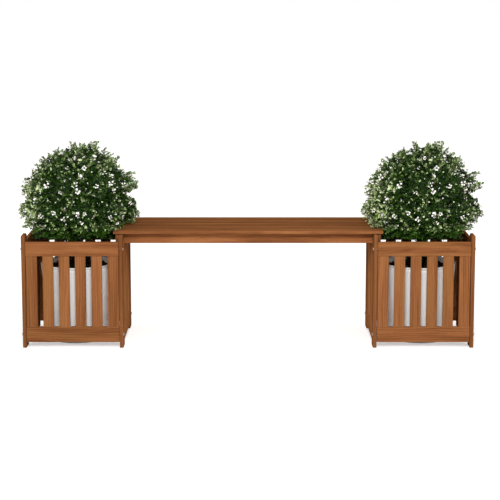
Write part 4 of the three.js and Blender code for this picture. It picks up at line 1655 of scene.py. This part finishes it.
    def _kept(self, places: Array, axes: Array) -> Array:
        """Which leaves stay: clear of the woodwork, inside the crown's box and not over a flower's face.

        Args:
            places: the leaves' places.
            axes: their three axes.

        Returns:
            A row of true and false.
        """
        ahead, aside = axes[:, 0], axes[:, 1] / 2
        ends = np.stack([places, places + ahead, places + ahead / 2 + aside, places + ahead / 2 - aside])
        box = [self.crown.half_width, self.crown.half_depth, self.crown.top]
        out = (np.abs(ends) > box).any(axis=-1)
        kept = ~(self.clearance.closed(ends) | out).any(axis=0)
        middles = places + ahead / 2
        low, high = self.flower_heights
        for place, facing in zip(self.flower_places, self.flower_facings):
            off = middles - place
            height = off @ facing
            away = np.linalg.norm(off - height[:, None] * facing, axis=1)
            kept &= ~((height > low) & (height < high) & (away < self.flower_room))
        return kept

    def _leaf_meshes(self) -> dict[str, Mesh]:
        """The leaves' meshes, in three tiers from the lowest up.

        Returns:
            The meshes by tier.
        """
        groups = zip(self._sprig_leaves(), self._shade_leaves(), self._foot_leaves())
        crown = [np.concatenate(group) for group in groups]
        kept = self._kept(*crown[:2])
        fringe = self._fringe_leaves()
        places, axes, levels = (np.concatenate([rows[kept], extra]) for rows, extra in zip(crown, fringe))
        cuts = np.quantile(places[:, 2], [0.0, 1 / 3, 2 / 3, 1.0])
        meshes = {}
        for tier, low, high in zip(("low", "middle", "high"), cuts[:-1], cuts[1:]):
            chosen = (places[:, 2] > low) & (places[:, 2] <= high)
            patch = Patch()
            patch.repeat(self.leaf.shape(), self.leaf.faces(), places[chosen], axes[chosen], levels[chosen])
            meshes[tier] = patch.build(f"leaves_{tier}", False)
        return meshes

    def _facing_axes(self, facings: Array) -> Array:
        """Three axes for each facing, the last of them along it, turned at random.

        Args:
            facings: the facings, a row each.

        Returns:
            The axes.
        """
        aside = unit(np.cross(facings, unit(self.chance.normal(size=facings.shape))))
        return np.stack([aside, np.cross(facings, aside), facings], axis=1)

    def _around(self, axes: Array, number: int, count: int, spread: float) -> Array:
        """For each flower the way outward to one of its petals or anthers.

        Args:
            axes: the flowers' axes.
            number: the petal's or anther's number.
            count: how many of them stand in the ring.
            spread: how unevenly they stand.

        Returns:
            The ways, a row each.
        """
        angle = 2 * math.pi * number / count + self.chance.normal(0, spread, (len(axes), 1))
        return axes[:, 0] * np.cos(angle) + axes[:, 1] * np.sin(angle)

    def _flower_mesh(self) -> Mesh:
        """The petals of all flowers, and the buds."""
        patch = Patch()
        corners, faces, along = self.blossom.petal()
        axes = self._facing_axes(self.flower_facings)
        column = (len(axes), 1, 1)
        sizes = self.chance.uniform(*self.flower_sizes, column)
        # Each petal is turned, tilted and sized by chance, and a few are missing.
        for number in range(self.blossom.petals):
            out = self._around(axes, number, self.blossom.petals, 0.17)
            tip = unit(out + axes[:, 2] * self.chance.normal(0.20, 0.45, (len(axes), 1)))
            face = unit(axes[:, 2] - tip * (axes[:, 2] * tip).sum(-1, keepdims=True))
            rows = np.stack([tip, np.cross(face, tip), face], axis=1) * sizes
            rows = rows * self.chance.uniform(0.78, 1.08, column)
            left_on = self.chance.uniform(0, 1, len(axes)) > self.petals_lost
            levels = np.tile(along, (int(left_on.sum()), 1))
            patch.repeat(corners, faces, self.flower_places[left_on], rows[left_on], levels)
        self._buds(patch)
        return patch.build("petals", True)

    def _buds(self, patch: Patch) -> None:
        """Adds the closed buds near the sprigs' tips.

        Args:
            patch: what the faces are added to.
        """
        # A bud's radii and heights, from its stalk to its tip.
        low = [(0.0003, 0.0), (0.0016, 0.0012), (0.0024, 0.0034)]
        high = [(0.0021, 0.0052), (0.0010, 0.0066), (0.0001, 0.0072)]
        corners, faces = lathe(low + high, 8)
        heights = self.tips[:, 2]
        clear = np.flatnonzero((heights > self.bud_from) & (heights < self.crown.top - 0.015))
        picked = clear[np.linspace(3, len(clear) - 4, self.buds).astype(int)]
        facings = unit(self.tips[picked] - self.roots[picked])
        axes = self._facing_axes(facings) * self.chance.uniform(*self.bud_sizes, (self.buds, 1, 1))
        patch.repeat(corners, faces, self.tips[picked], axes, np.full(self.buds, 0.8))

    def _heart_mesh(self) -> Mesh:
        """The hearts of all flowers, with their anthers."""
        patch = Patch()
        radius = self.blossom.heart_radius
        dome = [(0.0001, 0.9 * radius), (0.55 * radius, 0.8 * radius), (0.9 * radius, 0.45 * radius)]
        corners, faces = lathe([*dome, (radius, 0.0)], 10)
        axes = self._facing_axes(self.flower_facings)
        origins = self.flower_places + self.flower_facings * 0.0004
        patch.repeat(corners, faces[:, ::-1], origins, axes, np.full(len(axes), 0.1))
        grain, sides = lathe([(0.0001, -0.0006), (0.0006, 0.0), (0.0001, 0.0006)], 5)
        # Each anther sits on a bent thread that leaves the dome.
        for number in range(self.blossom.anthers):
            out = self._around(axes, number, self.blossom.anthers, 0.15)
            ends = origins + out * 0.0038 + self.flower_facings * 0.0034
            patch.repeat(grain, sides, ends, axes, np.full(len(axes), 0.95))
            bend = origins + out * 0.0028 + self.flower_facings * 0.0020
            paths = np.stack([origins + out * 0.0012, bend, ends], axis=1)
            patch.tubes(paths, (0.00016, 0.00016), 3, 0.6)
        return patch.build("hearts", True)

    def _stem_mesh(self) -> Mesh:
        """The stems out of the soil, the branches to the lobes, the hanging twigs and the sprigs' twigs."""
        patch = Patch()
        turns = np.arange(self.stems) * 2 * math.pi / self.stems
        outward = np.stack([np.cos(turns), np.sin(turns), 0 * turns], axis=-1)
        shares = np.linspace(0, 1, 9)[None, :, None]
        feet = outward * self.stem_foot + np.array([0.0, 0.0, self.soil_top - 0.006])
        heads = outward * self.stem_head + np.array([0.0, 0.0, self.crown.base + self.stem_rise])
        sway = np.sin(shares * math.pi * 1.6 + turns[:, None, None]) * self.stem_sway
        stems = feet[:, None] + (heads - feet)[:, None] * shares + sway * np.roll(outward, 1, axis=1)[:, None]
        patch.tubes(stems, self.stem_radii, 10)

        # The branches leave the stems' upper halves and end a fifth of the way from the lobes to the core.
        lobes = self.crown.centres[1:] - (self.crown.centres[1:] - self.crown.core) * 0.2
        nearest = np.linalg.norm(lobes[:, None] - heads[None], axis=-1).argmin(axis=1)
        forks = stems[nearest, 5 + (np.arange(len(lobes)) % 4)]
        patch.tubes(bowed(forks, lobes, 7, (0.0, 0.0, 0.006)), self.branch_radii, 6)

        # Three twigs hang before each of the back panel's middle slats, to hold the leaves that paint shade
        # there.
        gaps = np.array([-self.hanger_gap, 0.0, self.hanger_gap])
        across = (self._fringe_places()[:, None] + gaps).ravel()[:, None]
        tops = np.hstack([across, np.tile(self.hanger_top, (len(across), 1))])
        ends = np.hstack([across, np.tile(self.hanger_foot, (len(across), 1))])
        patch.tubes(bowed(tops, ends, 5, (0.0, 0.006, 0.0)), self.hanger_radii, 4)

        twigs = ~self.clearance.twigless(self.tips)
        patch.tubes(bowed(self.roots[twigs], self.tips[twigs], 5, (0.0, 0.0, 0.004)), self.twig_radii, 4)
        return patch.build("stems", True)

    def build(self, centre: float, leaf: Material, petal: Material, heart: Material, bark: Material) -> None:
        """Makes the shrub once and sets it in both pots.

        Args:
            centre: how far each pot stands from the bench's middle.
            leaf: the leaves' finish.
            petal: the petals' finish.
            heart: the finish of the flowers' hearts.
            bark: the stems' finish.
        """
        parts = [(f"leaves_{tier}", mesh, leaf, "leaves") for tier, mesh in self._leaf_meshes().items()]
        parts += [
            ("flowers", self._flower_mesh(), petal, "flowers"),
            ("flower_hearts", self._heart_mesh(), heart, "flowers"),
            ("stems", self._stem_mesh(), bark, "stems"),
        ]
        for side in Side:
            for name, mesh, material, slot in parts:
                piece = show(f"{side.word}_{name}", mesh, material, (side.value * centre, 0.0, 0.0))
                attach(piece, f"{side.word}_potted_shrub")
                if slot != "flowers":
                    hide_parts(f"{side.word}_shrub")
                log.info("%s: %d faces", piece.name, len(mesh.polygons))


@dataclass
class Studio:
    """The camera, the floor and the soft light round the bench."""

    lens: float = 107.66
    eye: Point = (0.0073, -6.031, 1.446)
    tilt: float = 8.28
    rise: float = -0.1
    floor_reach: float = 40.0
    key_level: float = 0.58
    key_height: float = 27.0
    key_distance: float = 5.0
    key_aim: float = 0.4
    key_size: float = 1.1
    fill_level: float = 0.245
    fill_turn: float = 65.0
    fill_height: float = 32.0
    fill_angle: float = 40.0
    back_level: float = 0.14
    back_turn: float = 180.0
    ambient: float = 0.42

    def build(self) -> None:
        """Makes the camera, the floor, the lamps and the world."""
        self._camera()
        self._floor()
        self._key()
        for side in Side:
            self._sun(f"{side.word}_fill", self.fill_level, side.value * self.fill_turn)
        self._sun("back_fill", self.back_level, self.back_turn)
        self._world()
        bpy.context.scene.view_settings.view_transform = "Standard"
        log.info("studio: camera, floor, four lamps and world")

    def _camera(self) -> None:
        """Puts the camera at the photograph's viewing angle."""
        camera = bpy.data.objects.new("camera", bpy.data.cameras.new("camera"))
        bpy.context.scene.collection.objects.link(camera)
        camera.data.lens = self.lens
        camera.data.shift_y = self.rise
        camera.data.clip_end = 200.0
        camera.location = self.eye
        camera.rotation_euler = (math.radians(90.0 - self.tilt), 0.0, 0.0)
        bpy.context.scene.camera = camera

    def _floor(self) -> None:
        """Lays the floor."""
        reach = self.floor_reach
        patch = Patch()
        square = [(-reach, -reach, 0.0), (reach, -reach, 0.0), (reach, reach, 0.0), (-reach, reach, 0.0)]
        patch.add(np.array(square), np.array([(0, 1, 2, 3)]))
        show("floor", patch.build("floor", False), FloorFinish().material())

    def _key(self) -> None:
        """Hangs the large soft lamp in front and above, turned to the bench."""
        height = math.radians(self.key_height)
        data = bpy.data.lights.new("key", "AREA")
        data.shape = "DISK"
        data.size = self.key_size
        data.energy = self.key_level * (math.pi * self.key_distance) ** 2
        lamp = bpy.data.objects.new("key", data)
        bpy.context.scene.collection.objects.link(lamp)
        away, rise = self.key_distance * math.cos(height), self.key_distance * math.sin(height)
        lamp.location = (0.0, -away, self.key_aim + rise)
        lamp.rotation_euler = (math.pi / 2 - height, 0.0, 0.0)
        lamp.visible_camera = False

    def _sun(self, name: str, level: float, turn: float) -> None:
        """Sends weaker, very soft light from one side.

        Args:
            name: the lamp's name.
            level: how bright it lights a white face that is turned to it.
            turn: the side it comes from, in degrees from the front.
        """
        data = bpy.data.lights.new(name, "SUN")
        data.energy = level * math.pi
        data.angle = math.radians(self.fill_angle)
        lamp = bpy.data.objects.new(name, data)
        bpy.context.scene.collection.objects.link(lamp)
        lamp.rotation_euler = (math.radians(90.0 - self.fill_height), 0.0, math.radians(turn))

    def _world(self) -> None:
        """Lights the world evenly, and shows it white to the camera, in gloss and through glass."""
        world = bpy.data.worlds.new("studio_world")
        world.use_nodes = True
        nodes, links = world.node_tree.nodes, world.node_tree.links
        ground = nodes["Background"]
        ground.inputs["Color"].default_value = (1.0, 1.0, 1.0, 1.0)
        strength = nodes.new("ShaderNodeMapRange")
        strength.inputs["To Min"].default_value = self.ambient
        strength.inputs["To Max"].default_value = 1.0
        links.new(seen_rays(world.node_tree), strength.inputs["Value"])
        links.new(strength.outputs["Result"], ground.inputs["Strength"])
        bpy.context.scene.world = world


def main() -> None:
    """Builds and dresses the bench, part by part."""
    logging.basicConfig(level=logging.INFO, format="%(name)s %(message)s")
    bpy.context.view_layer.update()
    Studio().build()
    timbers = Timbers()
    timbers.dress(WoodFinish())
    Bolts().build(ZincFinish().material())
    plastic, soil = PotFinish().material(), SoilFinish().material()
    for side in Side:
        PlantPot().build(side, timbers.planter_centre, plastic)
        SoilBed().build(side, timbers.planter_centre, soil)
    Shrub(timbers.slat_pitch).build(
        timbers.planter_centre,
        LeafFinish().material(),
        PetalFinish().material(),
        HeartFinish().material(),
        BarkFinish().material(),
    )


if __name__ == "__main__":
    main()
